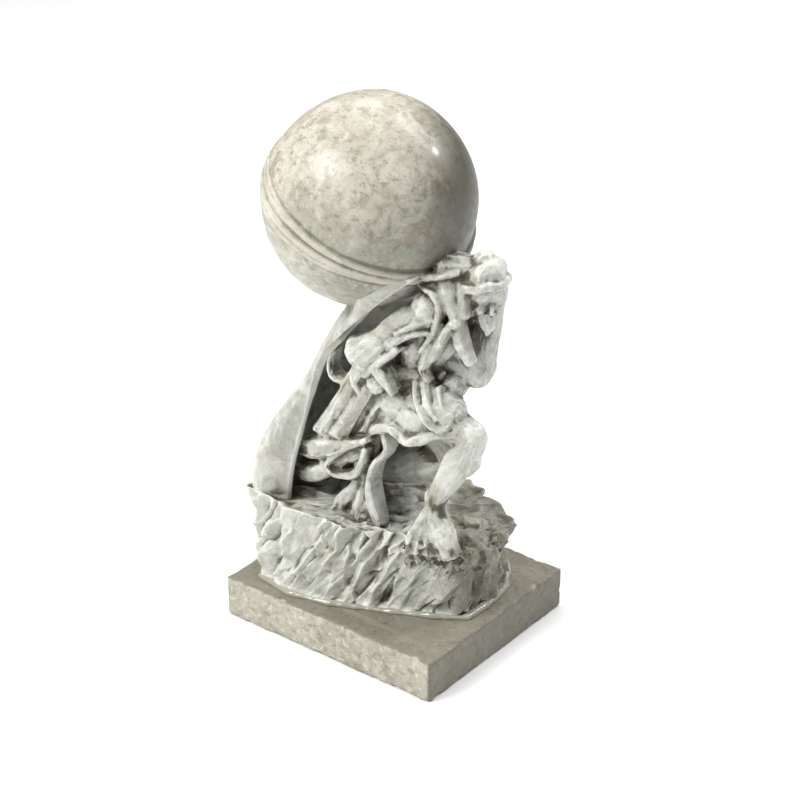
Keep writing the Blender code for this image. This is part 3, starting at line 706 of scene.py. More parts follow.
def gouged(points):
    """How deep the gouge has gone at each point, in millimetres: long slanting cuts, chips and fine grain."""
    lean = points - GOUGE_LEAN * points[:, 2:3]
    lean = lean + 1.2 * np.stack([hills(points, 12, s) for s in (21, 22, 23)], axis=1)
    long_cut = scoops(lean * (1, 1, 0.36), 10.0, 31)
    short_cut = scoops(lean * (1, 1, 0.45), 4.6, 37)
    chip = chips(lean * (1, 1, 0.42), 8.0, 35)
    lump = hills(points * (1, 1, 0.6), 15, 39)
    under = np.clip(hills(points * (1, 1, 0), 16, 40) + 0.35, 0, 1) * np.exp(-(((points[:, 2] - 6) / 6) ** 2))
    depth = LONG_CUT_DEPTH * (0.8 - long_cut) + LUMP_DEPTH * lump + FOOT_HOLLOW_DEPTH * under
    depth = depth + CHIP_DEPTH * chip + SHORT_CUT_DEPTH * (0.9 - short_cut)
    return depth + GRAIN_DEPTH * hills(points, 1.7, 43)


def rippled(points):
    """Depth of the ripples on the rock's top: stretched hills, mirrored at zero to meet in creases."""
    turned = points @ np.array(((0.787, -0.617, 0), (0.617, 0.787, 0), (0, 0, 0)))
    turned = turned + 2.0 * np.stack([hills(points, 8, s) for s in (24, 25, 26)], axis=1)
    fold = np.abs(hills(turned * (0.42, 1, 1), 7.5, 44)) + 0.4 * np.abs(hills(turned * (0.5, 1, 1), 3.4, 45))
    return 3.6 * np.minimum(fold, 0.8) + 0.5 * chips(turned, 8, 46) + 0.15 * hills(points, 1.5, 43)


def rock_rings(around=700):
    """Rings from the bed up the wall, then in over the top, pushed in by the gouge."""
    foot = closed_path([(*p, 0) for p in ROCK_FOOT], around)
    rim = closed_path([(*p, h) for p, h in zip(ROCK_RIM, ROCK_RIM_HEIGHT)], around)
    rings = []
    for share in np.linspace(0, 1, WALL_RINGS):
        ring = foot * (1 - share) + rim * share
        out = unit(ring * (1, 1, 0) - ROCK_MIDDLE)
        depth = 0.6 + 1.5 * np.sin(np.pi * share) + gouged(ring) * min(1.0, 0.45 + 12 * share)
        rings.append(ring - out * depth[:, None])
    middle = rim.mean(axis=0)
    top = rings[-1]
    for share in np.linspace(0.985, 0.03, TOP_RINGS):
        ring = middle + (top - middle) * share
        ring[:, 2] = middle[2] + (rim[:, 2] - middle[2]) * share
        fade = min(1.0, (1 - share) * 12)
        ring[:, 2] -= fade * rippled(ring * (1, 1, 0))
        rings.append(ring)
    return np.array(rings)


rock_points, *rock_faces = closed_form(rock_rings())
rock_points = relaxed(rock_points, edges_of(*rock_faces), 1)
rock = finish_piece("rock", rock_points, *rock_faces, CUT_STONE, ["statue"], "carved_stone")

# %% [markdown]
# ## The cloak
#
# The cloak is one bent sheet of stone. In plan it is an open U that widens downwards: near edge, near
# corner, back, far corner and far edge. The sheet's rim is rounded, and long drag marks of the chisel
# run down it.

# %% Cloak
CLOAK_THICKNESS = 5.0
# Height, then the places of the near edge, the near corner, the back and the far edge
CLOAK_LEVELS = (
    (212, (38, -27), (17, -36), (-9, -2), (24, 18)),
    (196, (20, -34), (5, -36), (-14, -2), (16, 20)),
    (180, (3, -33), (-4, -30), (-21, -2), (8, 20)),
    (162, (-14, -31), (-19, -27), (-32, -2), (4, 22)),
    (146, (-27, -30), (-31, -25), (-42, -2), (0, 24)),
    (122, (-35, -31), (-44, -28), (-54, -2), (-3, 26)),
    (98, (-40, -34), (-58, -38), (-66, -2), (-4, 28)),
    (74, (-45, -37), (-68, -45), (-72, -2), (-2, 30)),
    (50, (-48, -38), (-68, -44.5), (-70, -2), (0, 30)),
)


def cloak_rings(rows=280, columns=130):
    """The sheet through the levels. Its thickness falls off in a quarter round towards both edges."""
    lines = []
    for height, edge, corner, back, far in CLOAK_LEVELS:
        far_corner = (corner[0] + 6, back[1] * 2 - corner[1] - 0.3 * max(0, height - 180))
        spots = (edge, corner, back, far_corner, far)
        lines.append(smooth_path([(*spot, height) for spot in spots], columns))
    flat = smooth_path(np.array(lines).reshape(len(lines), -1), rows)
    grid = flat.reshape(rows, columns, 3)
    from_edge = np.linspace(0, 1, columns)
    near_rim = np.clip(np.minimum(from_edge, 1 - from_edge) / 0.02, 0, 1)
    thickness = CLOAK_THICKNESS * np.sqrt(1 - (1 - near_rim) ** 2 * 0.9)
    sheet = plate(grid, np.tile(thickness, (rows, 1)))
    points = sheet.reshape(-1, 3)
    drag = 0.7 * hills(points * (1, 1, 0.16), 4.5, 51) + 0.35 * hills(points * (1, 1, 0.25), 1.8, 52)
    near = scoops(points * (1, 1, 0.5), 5.0, 55)
    cut = 0.5 * (1 - np.minimum(near / 0.75, 1) ** 2)
    middle = np.concatenate((grid, grid[:, ::-1]), axis=1)
    inward = unit(middle - sheet)
    return sheet + inward * (cut - 0.5 * drag).reshape(sheet.shape[:2])[..., None] * 0.8


cloak = finish_piece("cloak", *closed_form(cloak_rings()), CUT_STONE, ["statue"], "carved_stone")

# %% [markdown]
# ## The man
#
# The man crouches: his left knee is down behind, his right foot stands forward on the rim, his right
# hand is at his belt, and his left fist holds the sling at his brow. His joints come first, and his
# limbs are tubes between them. The head is an egg on common proportions: the brow at half its height,
# the nose a wedge as long as a third of the face, and the beard a ribbed tube that tapers below it.

# %% Joints, limbs and head
PELVIS = np.array((12.0, -4.0, 126.0))
WAIST = np.array((22.0, -4.0, 148.0))
CHEST = np.array((35.0, -4.0, 172.0))
COLLAR = np.array((46.0, -4.0, 194.0))
HEAD = np.array((60.0, 1.0, 198.0))
RIGHT_SHOULDER = np.array((39.0, -20.0, 190.0))
RIGHT_ELBOW = np.array((7.0, -28.0, 161.0))
RIGHT_WRIST = np.array((16.0, -24.0, 147.0))
LEFT_SHOULDER = np.array((42.0, 14.0, 190.0))
LEFT_ELBOW = np.array((54.0, 6.0, 152.0))
LEFT_WRIST = np.array((66.0, 4.0, 192.0))
LEFT_FIST = np.array((68.0, 3.0, 209.0))
RIGHT_HIP = np.array((14.0, -12.0, 128.0))
RIGHT_KNEE = np.array((65.0, -13.0, 117.0))
RIGHT_ANKLE = np.array((43.0, -19.0, 71.0))
LEFT_HIP = np.array((11.0, 8.0, 126.0))
LEFT_KNEE = np.array((40.0, 9.0, 90.0))
LEFT_ANKLE = np.array((-14.0, 6.0, 64.0))
LEFT_TOE = np.array((-28.0, 6.0, 57.0))
# Stones beside the foot: centre, radii and the way the last radius points
STONES = (
    ((57, 0, 43), (13, 10, 6), (0.2, -0.3, 1)),
    ((62, -10, 38), (8, 8, 9), (0.3, -0.2, 1)),
    ((50, 14, 45), (12, 9, 6), (0.1, 0.3, 1)),
    ((62, 17, 42), (8, 9, 7), (0.4, 0.1, 1)),
    ((68, 3, 33), (5, 9, 11), (0.1, 0, 1)),
)


def torso_and_head():
    """Trunk, neck, head and hat. The face has a function of its own."""
    return [
        limb((PELVIS, (17, 15)), (WAIST, (16, 13)), (CHEST, (18, 16)), (COLLAR, (16, 11)),
             folds=ribs(0.05, 5, twist=3), steps=60, around=90),
        limb((RIGHT_SHOULDER, (9, 10)), (between(RIGHT_SHOULDER, LEFT_SHOULDER, 0.5), (12, 13)),
             (LEFT_SHOULDER, (9, 9)), facing=(0, 0, 1)),
        limb((COLLAR, (10, 10)), (between(COLLAR, HEAD, 0.6), (9, 9)), (HEAD, (8, 8))),
        # The coat's front swells over the ribs and gathers under the collar
        egg((29, -18, 165), (8, 7, 11), axis=(0.6, 0, 1)),
        egg((36, -17, 171), (6, 7, 10), axis=(0.5, 0, 1)),
        egg((25, -16, 157), (7, 6, 7), axis=(0.8, 0, 0.6)),
        strap((42, -21, 172, 3, 4), (38, -21, 162, 3, 4), (35, -20, 154, 2.4, 3.4), (38, -19, 147, 1.6, 2)),
        egg(HEAD, (10.0, 9.5, 13), axis=(0.2, 0, 1)),
        *face(),
        # Hat: a crumpled crown, and a brim turned down over the temple
        limb((HEAD + (1, -1, 8), (13, 13)), (HEAD + (2, -1, 13), (12.5, 12.5)),
             (HEAD + (2, -1, 18), (11, 11)), (HEAD + (1, -1, 21), (6, 7)),
             folds=ribs(0.1, 5, 0.6, 2.5), square=0.8, steps=50, around=90),
        strap(*[brim_station(turn) for turn in np.linspace(0.2, 6.5, 13)],
              root=0, facing=(0, 0, 1), steps=120, square=0.7),
    ]


def brim_station(turn):
    """One station of the hat's brim: an ellipse that tilts forward and waves five times."""
    height = 206.5 + 2.4 * np.cos(turn) + 0.9 * np.sin(5 * turn)
    return 61.5 + 13 * np.cos(turn), 13.5 * np.sin(turn), height, 2.6, 2.4


FACE_FORWARD = unit(np.array((0.85, -0.47, -0.22)))
FACE_SIDE = unit(np.cross((0, 0, 1), FACE_FORWARD))


def face():
    """Brow, lids, cheeks, nose, moustache, lip, beard and hair, each placed forward, sideways and up."""
    def at(forward, side, up):
        """A place that far forward, sideways and up from the middle of the head."""
        return HEAD + forward * FACE_FORWARD + side * FACE_SIDE + np.array((0, 0, up))

    forms = [
        limb((at(8, -6, 3), (1.5, 1.4)), (at(9.8, 0, 3.6), (1.8, 1.5)), (at(8, 6, 3), (1.5, 1.4)), around=24),
        limb((at(10, 0, 3.5), (1.2, 1.2)), (at(12.4, 0, -1.5), (1.5, 1.6)), (at(12.6, 0, -3), (2.2, 1.5)),
             around=24),
        egg(at(9.3, 0, -8.5), (1.6, 2.6, 1.0)),
        tube([(*at(6, 0, -8), 7, 5), (*at(7.5, 0, -12), 6, 5), (*at(7.5, 0, -16), 3.6, 3.6),
              (*at(7.5, -0.5, -19), 1.4, 1.4)],
             facing=tuple(FACE_SIDE), steps=40, around=80, folds=ribs(0.1, 9, twist=1)),
        tube([(*at(-1, -9.5, 8), 3, 5), (*at(0, -10, 1), 3, 5), (*at(2, -8.5, -8), 3, 4)],
             steps=40, around=60, folds=ribs(0.12, 8, twist=1)),
    ]
    for way in (-1, 1):
        forms += [
            egg(at(8.6, 4.0 * way, 0.4), (2.0, 2.2, 1.9)),
            egg(at(7.2, 5.0 * way, -3.2), (3.4, 3.2, 3.8)),
            limb((at(10.6, 0.4 * way, -5.6), (1.5, 1.4)), (at(9.0, 4.4 * way, -7.6), (1.2, 1.1)), around=20),
        ]
    return forms


def arms():
    """Both sleeves and both hands: four fingers are tubes laid side by side."""
    forms = [
        egg(RIGHT_SHOULDER + (0, -1, 1), (9.5, 9, 10.5), axis=(-0.5, 0, 1)),
        limb((RIGHT_SHOULDER, (9.5, 9)), ((22, -25, 177), (8.2, 8.5)), ((10, -28, 167), (7.4, 7.5)),
             folds=ribs(0.08, 4, twist=5), steps=60, around=80, square=0.85),
        # Sleeve folds that pull from the armpit towards the cuff
        strap((42, -26, 180, 1.6, 2.0), (33, -30, 177, 1.9, 2.4), (23, -31.5, 170, 1.9, 2.4),
              (15, -32, 164, 1.4, 1.8)),
        strap((45, -26, 188, 1.4, 1.8), (36, -31, 183.5, 1.7, 2.0), (26, -33, 177, 1.4, 1.8)),
        limb((RIGHT_ELBOW, (6, 6)), (RIGHT_WRIST, (5.5, 5.5)), (RIGHT_WRIST + (3, -1, -5), (6, 4))),
        # Left arm, with the elbow forward and the fist at the brow
        limb((LEFT_SHOULDER, (10, 10)), (LEFT_ELBOW, (11, 11)),
             folds=ribs(0.06, 4, twist=5), steps=60, around=80),
        egg((54.5, 4, 149), (10, 9, 9), axis=(0.5, 0, 1)),
        egg((46, -4, 142), (8, 9, 8)),
        limb(((38, 0, 158), (9, 11)), ((52, 3, 150), (9, 9))),
        egg((46, 4, 166), (12, 12, 16), axis=(0.2, 0, 1)),
        limb((LEFT_ELBOW, (10.5, 10.5)), (between(LEFT_ELBOW, LEFT_WRIST, 0.6), (8, 8)),
             (LEFT_WRIST, (6.0, 6.0)), folds=ribs(0.05, 4, twist=4), steps=60, around=80),
        limb((LEFT_WRIST, (5.2, 5.2)), (LEFT_FIST + (0, 1, -8), (5.5, 6.0)),
             (LEFT_FIST + (0, 1, -4), (5.0, 5.0))),
    ]
    for finger in range(4):
        knuckle = LEFT_FIST + (-0.5 * finger, -4 + 3.1 * finger, -6)
        forms.append(limb((knuckle + (-3, 0, -9), (1.9, 1.9)), (knuckle + (3, 0, -3), (2.0, 2.0)),
                          (knuckle + (2, 0, 3), (1.8, 1.8)), (knuckle + (-5, 0, 6), (1.5, 1.5)), around=20))
    return forms


def legs():
    """The forward leg with its calf and foot, the kneeling leg behind it, and the stones."""
    foot_top = RIGHT_ANKLE + (0, -2, 2)
    forms = [
        limb((RIGHT_HIP, (14, 13)), (between(RIGHT_HIP, RIGHT_KNEE, 0.6), (10, 10)), (RIGHT_KNEE, (8, 8.5)),
             square=0.8),
        limb((RIGHT_KNEE + (-8, 0, 6), (8, 7)), (RIGHT_KNEE + (1, 0, 2), (7.5, 7)),
             (RIGHT_KNEE + (-1, 0, -7), (7, 7)), square=0.7),
        limb((RIGHT_KNEE, (8, 8.5)), (between(RIGHT_KNEE, RIGHT_ANKLE, 0.4), (8, 8.5)),
             (RIGHT_ANKLE, (5.8, 5.2)), folds=ribs(0.04, 3, twist=1.5), steps=60, around=80, square=0.75),
        limb((RIGHT_ANKLE + (0, 0, 6), (5, 5)), (RIGHT_ANKLE + (3, -2, -6), (6.5, 6.5)),
             (RIGHT_ANKLE + (7, -3, -15), (8, 10)), (RIGHT_ANKLE + (9, -3, -26), (6, 12)), square=0.85),
        limb((LEFT_HIP, (15, 15)), (LEFT_KNEE, (14, 14))),
        limb((LEFT_KNEE, (14, 14)), (between(LEFT_KNEE, LEFT_ANKLE, 0.45), (12, 13)), (LEFT_ANKLE, (8, 8)),
             (LEFT_TOE, (7, 6))),
    ]
    # Ridges that fan out from the ankle over the foot and onto the rock, as the chisel left them
    for fan in np.linspace(-1, 1, 6):
        tip = np.array((48 + 15 * fan, -15.0 + 11.5 * fan, 22 + 8 * abs(fan)))
        rim = np.array((48 + 12 * fan, -26.5 + 7.5 * fan, 49))
        forms.append(limb((foot_top, (2.8, 2.4)), (rim, (3.4, 2.6)), (tip, (3.4, 2.4)),
                          around=24, square=0.55))
    return forms + [egg(place, radii, axis=axis) for place, radii, axis in STONES]


print("left arm reaches", np.linalg.norm(LEFT_FIST - LEFT_ELBOW).round(1), "mm from elbow to fist")

# %% [markdown]
# ## The clothes
#
# Cloth carved in stone has few, deep folds with sharp crests. A hanging cloth is a plate between two
# curves whose pleats deepen towards its hem. A tail, a strap or a scarf is a flat tube.

# %% Clothes
def pleated(top, hem, count, depth, thickness, rows=70, columns=120):
    """A sheet between two curves, moved out and in by a triangle wave that grows towards the hem."""
    across = np.linspace(0, 1, columns)
    down = np.linspace(0, 1, rows)[:, None, None]
    upper, lower = smooth_path(top, columns), smooth_path(hem, columns)
    grid = upper[None] * (1 - down) + lower[None] * down
    wave = np.abs((across * count) % 1.0 - 0.5) * 4 - 1
    grid[..., 1] -= depth * wave[None] * (0.3 + 0.7 * down[..., 0])
    grid[..., 2] += 1.5 * depth * wave[None] * down[..., 0] ** 4
    return plate(grid, np.full(grid.shape[:2], thickness))


def strap(*stations, root=2.5, **how):
    """A flat band through (x, y, z, half width, half depth) stations, rooted in what lies behind it."""
    path = np.array(stations, float) + (0, root, 0, root, 0)
    return tube(path, **{"steps": 50, "around": 32, **how})


def tunic_and_coat():
    """The tunic over the thigh, and the coat with its tails."""
    return [
        # Tunic: a rounded lobe over the thigh, with folds that run down it
        limb(((12, -6, 130), (15, 14)), ((31, -10, 128), (14, 15)), ((44, -13, 129), (12, 14)),
             ((50, -14, 127), (10, 12.5)), folds=ribs(0.05, 6, twist=3), steps=70, around=120, square=0.85),
        strap((31, -21, 143, 1.6, 3.0), (35, -24.5, 134, 1.8, 3.0), (43, -26.5, 126, 1.8, 3.0),
              (51, -24.5, 123, 1.8, 3.0), (55, -20, 128, 1.8, 3.0), (55, -15, 136, 1.4, 2.4), root=4),
        strap((37, -20, 144, 1.6, 3.0), (42, -24, 136, 1.8, 3.0), (48, -24, 129, 1.4, 2.4),
              square=0.6, root=4),
        strap((45, -18, 142, 1.6, 3.0), (49, -21.5, 136, 1.6, 2.8), (52, -21, 131, 1.4, 2.2),
              square=0.6, root=4),
        # Its hem band under the thigh, which stands proud in shallow scallops
        strap((-5, -23, 104, 2.4, 3.0), (5, -25, 109, 2.0, 3.2), (12, -26, 113, 1.8, 3.4),
              (19, -27, 114.5, 2.2, 3.2), (25, -26.5, 112, 2.0, 3.8), (31, -28, 111, 2.8, 3.0),
              (37, -26.5, 113, 2.0, 3.8), (46, -24, 118, 2.4, 3.0), (58, -20, 121, 1.6, 2.6),
              steps=120, square=0.5, root=4),
        strap((-2, -15, 118, 9, 8), (14, -16, 121, 9, 9), (30, -17, 122, 9, 9), (46, -16, 124, 8, 8),
              square=0.7, folds=ribs(0.06, 5)),
        # Coat tail that swings back from the waist in two pleats
        pleated(((-10, -24, 145), (0, -26, 146), (9, -24, 141)),
                ((-34, -31, 98), (-25, -33, 99), (-13, -31, 101)),
                count=2.5, depth=2.2, thickness=5.5),
        pleated(((-6, -17, 146), (4, -19, 146), (16, -18, 140)),
                ((-28, -24, 98), (-14, -25, 100), (0, -25, 103)),
                count=2.0, depth=1.6, thickness=7),
        pleated(((4, 4, 156), (16, 5, 156), (28, 4, 152)),
                ((-8, 24, 90), (8, 27, 88), (32, 24, 96)),
                count=5, depth=2, thickness=5),
        # Cloth that spreads below the tail: a bright fold, and a roll under it
        strap((-48, -27, 82, 2.6, 6), (-36, -30, 86, 3.2, 7.2), (-24, -31.5, 91.5, 3.4, 6.4),
              (-4, -30, 100, 3.0, 2.8), square=0.55, facing=(0, 1, 0), root=4),
        strap((-44, -31, 80, 1.0, 1.2), (-32, -34, 84, 1.2, 1.4), (-16, -34.5, 91, 1.2, 1.4),
              (-4, -32, 98, 1, 1.2), root=2),
        strap((-52, -26, 66, 3, 6.0), (-42, -28, 67, 3, 6.4), (-30, -29, 73, 3, 5.4),
              (-12, -28, 87, 2.6, 3.4), square=0.6, facing=(0, 1, 0), root=4),
        # Its open fold: a lip that turns round like an ear
        strap((2, -29, 103, 2.6, 2.2), (-9, -31, 96, 2.4, 2.6), (-19, -32.5, 87, 2.4, 2.8),
              (-23, -33, 80, 2.2, 2.4), (-18, -33, 76, 2.0, 2.4), (-6, -31.5, 79, 2.4, 3.0),
              (-1, -30, 87, 2.0, 2.4), (1, -29, 96, 2.0, 2.0), steps=120, square=0.6, root=5),
        egg((-10, -24, 88), (5, 6, 13), axis=(20, 1, 12)),
        strap((-30, -29, 78, 2, 3), (-20, -29, 82, 2, 4), (-8, -27, 90, 2, 4), square=0.6),
        # The end that hangs to the rock: two lips with a hollow between, spread in folds at the foot
        strap((-5, -24, 104, 2.2, 2.6), (-4, -26, 94, 2.2, 2.2), (-6, -27, 82, 2.2, 2.2),
              (-8, -28, 70, 2.2, 3.2), (-14, -29, 60, 2.4, 5), (-20, -30, 51, 1.6, 5),
              square=0.6, root=4),
        strap((8, -21, 111, 2.4, 3.0), (12, -23, 97, 2.4, 2.2), (6, -26, 88, 2.6, 2.4),
              (3, -27, 76, 2.4, 2.8), (5, -28, 63, 2.4, 4), (10, -29, 51, 1.6, 4),
              square=0.6, root=4),
        strap((2, -17, 112, 3, 7), (1, -20, 98, 3, 5.5), (-1, -22, 82, 3, 4.5), (-4, -25, 62, 5, 8),
              (-5, -27, 50, 4, 12), folds=ribs(0.1, 6)),
        strap((-2, -24, 84, 1.6, 2.0), (-3, -26, 70, 1.8, 2.4), (-4, -29, 56, 1.8, 4), square=0.6, root=4),
    ]


def collar_and_sash():
    """The coat's collar, the scarf with its knot, the cuff and the sash with its pointed ends."""
    return [
        strap((36, -22, 205, 2.2, 1.8), (45, -25, 203, 2.2, 1.8), (49.5, -25, 197, 2.2, 1.8),
              (48, -24.5, 186, 2.2, 1.8), (43, -24, 176, 2.2, 1.8), (36, -23, 166, 2, 1.6),
              square=0.7, steps=80),
        # Scarf: two folded bands that meet in a knot, and two tails that part below it
        strap((43, -15, 213, 3.4, 5), (50, -19, 203, 3.2, 4.6), (56, -20, 191, 3, 3.6),
              folds=ribs(0.08, 4), square=0.7),
        strap((50, -10, 213, 3, 4), (56.5, -14, 202, 3, 3.6), (58.5, -17, 191, 3, 3), square=0.7),
        egg((57, -20, 188), (4.0, 4.0, 4.4)),
        strap((55, -21, 187, 2.4, 2.6), (48.5, -21.5, 175, 2.2, 2.8), (41, -20.5, 161, 1.6, 1.8), square=0.5),
        strap((57.5, -19, 187, 2.4, 3.0), (58.5, -17, 175, 2.4, 3.8), (61.5, -13.5, 163, 1.6, 2.6),
              square=0.5),
        strap((59, -19.5, 184, 0.8, 1.0), (60.5, -18, 175, 0.9, 1.1), (62.5, -14.5, 166, 0.7, 0.9), root=1),
        # The sling's ends, gathered behind the neck
        egg((42, -5, 205), (13, 17, 10), axis=(0.3, 0, 1)),
        strap((28, -8, 211, 12, 6), (42, -8, 214, 9, 5.5), (53, -5, 214, 7, 6),
              around=90, folds=ribs(0.12, 7)),
        strap((34, -24, 209, 3, 2.4), (44, -21, 211, 3, 2.4), (52, -14, 213, 2.6, 2.4)),
        # Cuff: a flared end whose rim is cut in points
        limb(((13, -28, 169), (7.5, 7.5)), ((6, -29.5, 162.5), (8.5, 8.5)), ((1, -30, 158), (10, 9)),
             facing=(0.6, 0, -0.8), steps=30, around=60, square=0.8,
             folds=lambda along, angle: 1 + 0.16 * along * np.abs(np.sin(2.5 * angle))),
        # Sash and its pointed ends, which cross below the cuff
        limb(((6, -20, 144), (5, 4)), ((20, -20, 148), (5, 3)), ((36, -16, 149), (5, 3)), facing=(0, 0, 1)),
        strap((7, -32, 161, 2.2, 4), (14, -33, 152, 2.4, 5), (20, -33, 145, 1.8, 3), (23, -32, 139, 1, 1),
              square=0.6),
        strap((4, -32, 146, 2.0, 2.4), (15, -34, 156, 2.2, 2.6), (26, -32, 167, 1.8, 2), square=0.6),
        strap((5, -30, 156, 2.4, 4.6), (-1, -31, 147, 2.4, 5), (-4, -31, 139, 2, 3.4),
              (-1, -30, 131, 1.2, 1.2), square=0.6),
        egg((9, -28, 141), (6, 5, 7)),
        egg((16, -26, 145), (6, 5, 6)),
        # The cloak's rim turns in below the arm
        strap((-24, -27, 150, 2.0, 2.2), (-25, -28, 141, 2.0, 2.2), (-22.5, -28, 135, 2.0, 2.4),
              (-16, -27, 134, 1.8, 2.2), (-10, -25, 139, 1.6, 2.0), root=4, square=0.7),
    ]


# The way most folds run: down and back, as the sleeve, the coat tail and the shin do
FLOW = np.array(((0.8, 0.0, -0.6), (0.0, 1.0, 0.0), (0.6, 0.0, 0.8)))
SKIN_STEP = 0.8
MAN_FACETS = 7600


def chiselled(points, quads, triangles):
    """Moves a skin in along its normals: creases that run down the form, chips and fine grain."""
    points = relaxed(points, edges_of(quads, triangles), 1)
    normal = normals_of(points, quads, triangles)
    flow = points @ FLOW.T
    flow = flow + 0.9 * np.stack([hills(points, 6, s) for s in (61, 62, 63)], axis=1)
    crease = np.abs(hills(flow * (1, 1, 0.2), 3.4, 65)) + 0.5 * np.abs(hills(flow * (1, 1, 0.25), 1.9, 66))
    few = np.clip(0.6 + 0.9 * hills(points, 11, 64), 0.1, 1.2)
    # The foot and the stones beside it are hewn as coarsely as the rock
    coarse = 1 / (1 + np.exp((points[:, 2] - 52) / 2))
    chip = (0.3 + 0.6 * coarse) * chips(flow * (1, 1, 0.4), 3.4, 69) + 1.5 * coarse * chips(points, 7.0, 75)
    cut = 0.4 * few * np.minimum(crease, 0.7) + chip + 0.1 * hills(points, 1.6, 67)
    return points - normal * cut[:, None], quads, triangles


man_forms = torso_and_head() + arms() + legs() + tunic_and_coat() + collar_and_sash()
man_skin = chiselled(*one_skin("man", man_forms, SKIN_STEP, MAN_FACETS))
man = finish_piece("man", *man_skin, CUT_STONE, ["statue"], "carved_stone")

# %% [markdown]
# ## Painted shade in the deep places
#
# Painted shade in olive brown goes where light hardly reaches: inside the cloak, under the sleeve, between
# the tails.
# To find these places, space is cut into small cells, a cell that holds stone counts one, and the counts
# are spread out. Each point then looks a little way out along its normal and reads how full it is there.

# %% How buried each point is
CELL = 2.0
LOOK_OUT = 8.0


def surface_of(thing):
    """The points of a shown piece, in millimetres above the bed, and their normals."""
    mesh = thing.data
    points = np.empty(len(mesh.vertices) * 3, np.float32)
    normals = np.empty(len(mesh.vertices) * 3, np.float32)
    mesh.vertices.foreach_get("co", points)
    mesh.vertex_normals.foreach_get("vector", normals)
    return (points.reshape(-1, 3).astype(float) - (0, 0, BED)) / MM, normals.reshape(-1, 3)


def mark_buried(things):
    """Adds the attribute buried: the share of full cells round a spot in front of each point."""
    surfaces = [surface_of(thing) for thing in things]
    low = (statue_low - (0, 0, BED)) / MM - 12 * CELL
    high = (statue_high - (0, 0, BED)) / MM + 12 * CELL
    full = np.zeros(np.ceil((high - low) / CELL).astype(int))
    for points, _ in surfaces:
        full[tuple(((points - low) / CELL).astype(int).T)] = 1.0
    # Each pass spreads the counts over five cells along one axis
    for axis in (0, 1, 2, 0, 1, 2):
        full = sum(np.roll(full, step, axis) for step in range(-2, 3)) / 5
    for thing, (points, normals) in zip(things, surfaces):
        spot = ((points + LOOK_OUT * normals - low) / CELL).astype(int)
        layer = thing.data.attributes.new("buried", "FLOAT", "POINT")
        layer.data.foreach_set("value", full[tuple(spot.T)].astype(np.float32))
        print(thing.name, "buried", np.percentile(full[tuple(spot.T)], (5, 50, 80, 95)).round(3))


mark_buried((rock, cloak, man, boulder))

# %% [markdown]
# ## The plinth and the bead
#
# The plinth is a sawn slab whose edges have worn and chipped. Its rings follow the outline from the
# middle of the underside, up the sides and in over the top. Near an edge the stone is cut back where the
# random hills are high, so that the arris wanders. A bead of clear adhesive runs along the rock's foot.

# %% Plinth
def plinth_rings(around=720):
    """Rings of a rectangle with rounded edges: the corner arc of each ring is shared by both faces."""
    low = (plinth_low - (0, 0, BED)) / MM
    high = (plinth_high - (0, 0, BED)) / MM
    half = (high - low)[:2] / 2
    centre = (high + low)[:2] / 2
    corners = np.array(((-1, -1), (1, -1), (1, 1), (-1, 1))) * half + centre
    outline = closed_path(np.c_[corners, np.zeros(4)], around)
    stages = [(share, low[2]) for share in (0.02, 0.5, 0.9, 0.97)]
    stages += [(1.0, z) for z in np.linspace(low[2], high[2], 50)]
    stages += [(share, high[2]) for share in (*np.linspace(0.998, 0.9, 40), *np.linspace(0.88, 0.02, 24))]
    rings = []
    for share, height in stages:
        ring = np.r_[centre, 0] + (outline - np.r_[centre, 0]) * (share, share, 0)
        ring[:, 2] = height
        rings.append(ring)
    rings = np.array(rings)
    flat = rings.reshape(-1, 3)
    side = np.abs(flat[:, :2] - centre) - half
    rise = np.abs(flat[:, 2] - (low[2] + high[2]) / 2) - (high[2] - low[2]) / 2
    over = np.stack((side[:, 0], side[:, 1], rise), 1)
    order = np.sort(over, axis=1)
    edge = np.hypot(order[:, 1], order[:, 2])
    wear = 0.7 + 0.5 * hills(flat, 9, 71) + 0.35 * hills(flat, 2.6, 72)
    chip = 2.2 * np.clip(hills(flat, 6.5, 73) - 0.35, 0, 1)
    depth = np.clip(wear + chip, 0.1, 3) * np.exp(-((edge / (1.1 + 1.5 * chip)) ** 2))
    depth = depth + 0.06 * (1 + hills(flat, 1.6, 74)) * (flat[:, 2] < high[2] - 0.2)
    nearest = np.clip(flat, low + 4, high - 4)
    return (flat + unit(nearest - flat) * depth[:, None]).reshape(rings.shape)


finish_piece("slab", *closed_form(plinth_rings()), SAWN_STONE, ["plinth"], "sawn_stone")


# %% Bead of adhesive
def clear_adhesive():
    paint = Paint("clear adhesive")
    paint.shade({
        "Base Color": colour(168, 167, 152), "Roughness": 0.14, "Coat Weight": 0.6, "Coat Roughness": 0.05,
        "Normal": paint.bump(paint.noise(260.0, 3.0, 0.5), 0.3, 0.0008),
    })
    return paint.material


BEAD_RADIUS = 2.5
BEAD_INSET = 3.2
BEAD_HEIGHT = 1.2
BEAD_UNDERSIDE = 1.02


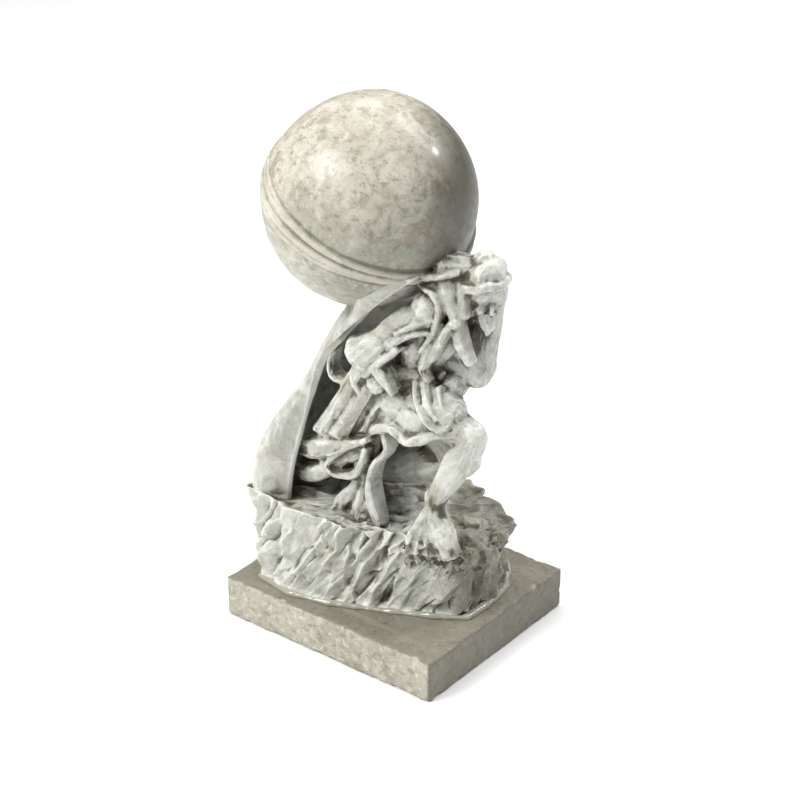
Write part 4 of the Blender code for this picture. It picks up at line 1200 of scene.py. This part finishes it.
def bead_mesh(along=520, around=14):
    """A ring carried along the rock's foot: centre + radius (cos, sin), and the radius swells by chance."""
    foot = closed_path([(*p, 0) for p in ROCK_FOOT], along)
    out = unit(foot - ROCK_MIDDLE)
    radius = BEAD_RADIUS + 0.9 * hills(foot, 7, 81) + 0.3 * hills(foot, 2.5, 82)
    centre = foot - out * BEAD_INSET
    centre[:, 2] = BEAD_HEIGHT
    angle = np.linspace(0, 2 * np.pi, around, endpoint=False)
    rings = centre[:, None] + radius[:, None, None] * (
        out[:, None] * np.cos(angle)[None, :, None] + np.array((0, 0, 0.9)) * np.sin(angle)[None, :, None])
    rings[..., 2] = np.maximum(rings[..., 2], BEAD_UNDERSIDE)
    i, j = np.meshgrid(np.arange(along), np.arange(around), indexing="ij")
    i_next, j_next = (i + 1) % along, (j + 1) % around
    corners = (i * around + j, i_next * around + j, i_next * around + j_next, i * around + j_next)
    quads = np.stack(corners, axis=-1).reshape(-1, 4)
    return rings.reshape(-1, 3), quads, np.empty((0, 3), np.int64)


finish_piece("bead", *bead_mesh(), clear_adhesive(), ["statue"], "carved_stone")

# %% [markdown]
# ## Studio
#
# A pale floor that fills the view, one broad soft light from the left front, a small one behind on the
# right that draws the sharp glints on the polished ball, a wide panel above that whitens the floor
# behind the statue, and a faint pale sky that fills the shadows.

# %% Floor, light and camera
def matt(name, shade):
    material = bpy.data.materials.new(name)
    material.use_nodes = True
    shader = material.node_tree.nodes["Principled BSDF"]
    shader.inputs["Base Color"].default_value = (shade, shade, shade, 1.0)
    shader.inputs["Roughness"].default_value = 0.9
    return material


def lamp(name, place, aim, size, power, warmth=(1.0, 1.0, 1.0)):
    """A square area light that looks at a point."""
    light = bpy.data.lights.new(name, "AREA")
    light.size = size
    light.energy = power
    light.color = warmth
    holder = bpy.data.objects.new(name, light)
    holder.location = place
    holder.rotation_euler = Vector(np.subtract(aim, place)).to_track_quat("-Z", "Y").to_euler()
    bpy.context.scene.collection.objects.link(holder)


FLOOR_SIZE = 30
FLOOR_DROP = 0.0005
SKY_STRENGTH = 0.2
bpy.ops.mesh.primitive_plane_add(size=FLOOR_SIZE, location=(0, 0, -FLOOR_DROP))
floor = bpy.context.object
floor.name = "floor"
floor.data.materials.append(matt("pale floor", 0.94))

bpy.context.scene.view_settings.view_transform = "Standard"
world = bpy.data.worlds.new("sky")
world.use_nodes = True
background = world.node_tree.nodes["Background"]
background.inputs["Color"].default_value = (1.0, 1.0, 1.0, 1.0)
background.inputs["Strength"].default_value = SKY_STRENGTH
bpy.context.scene.world = world
lamp("key", place=(-0.55, -0.95, 1.25), aim=(0, 0, 0.15), size=0.7, power=25.0, warmth=(1.0, 0.99, 0.97))
lamp("sky panel", place=(0.0, 1.0, 2.6), aim=(0, 0.6, 0), size=3.0, power=75.0)
lamp("glint", place=(0.45, 0.62, 0.78), aim=(0, 0, 0.25), size=0.1, power=3.2)

# The camera's place and line of sight, in metres, as the photograph's perspective puts them
EYE = Vector((0.63723, -0.80775, 0.65087))
SIGHT = Vector((-0.55266, 0.70506, -0.44436))
FOCAL_LENGTH = 90.0
SENSOR_WIDTH = 36.0
lens = bpy.data.cameras.new("camera")
lens.lens = FOCAL_LENGTH
lens.sensor_width = SENSOR_WIDTH
camera = bpy.data.objects.new("camera", lens)
camera.location = EYE
camera.rotation_euler = SIGHT.to_track_quat("-Z", "Y").to_euler()
bpy.context.scene.collection.objects.link(camera)
bpy.context.scene.camera = camera
print("camera at", [round(n, 3) for n in EYE])
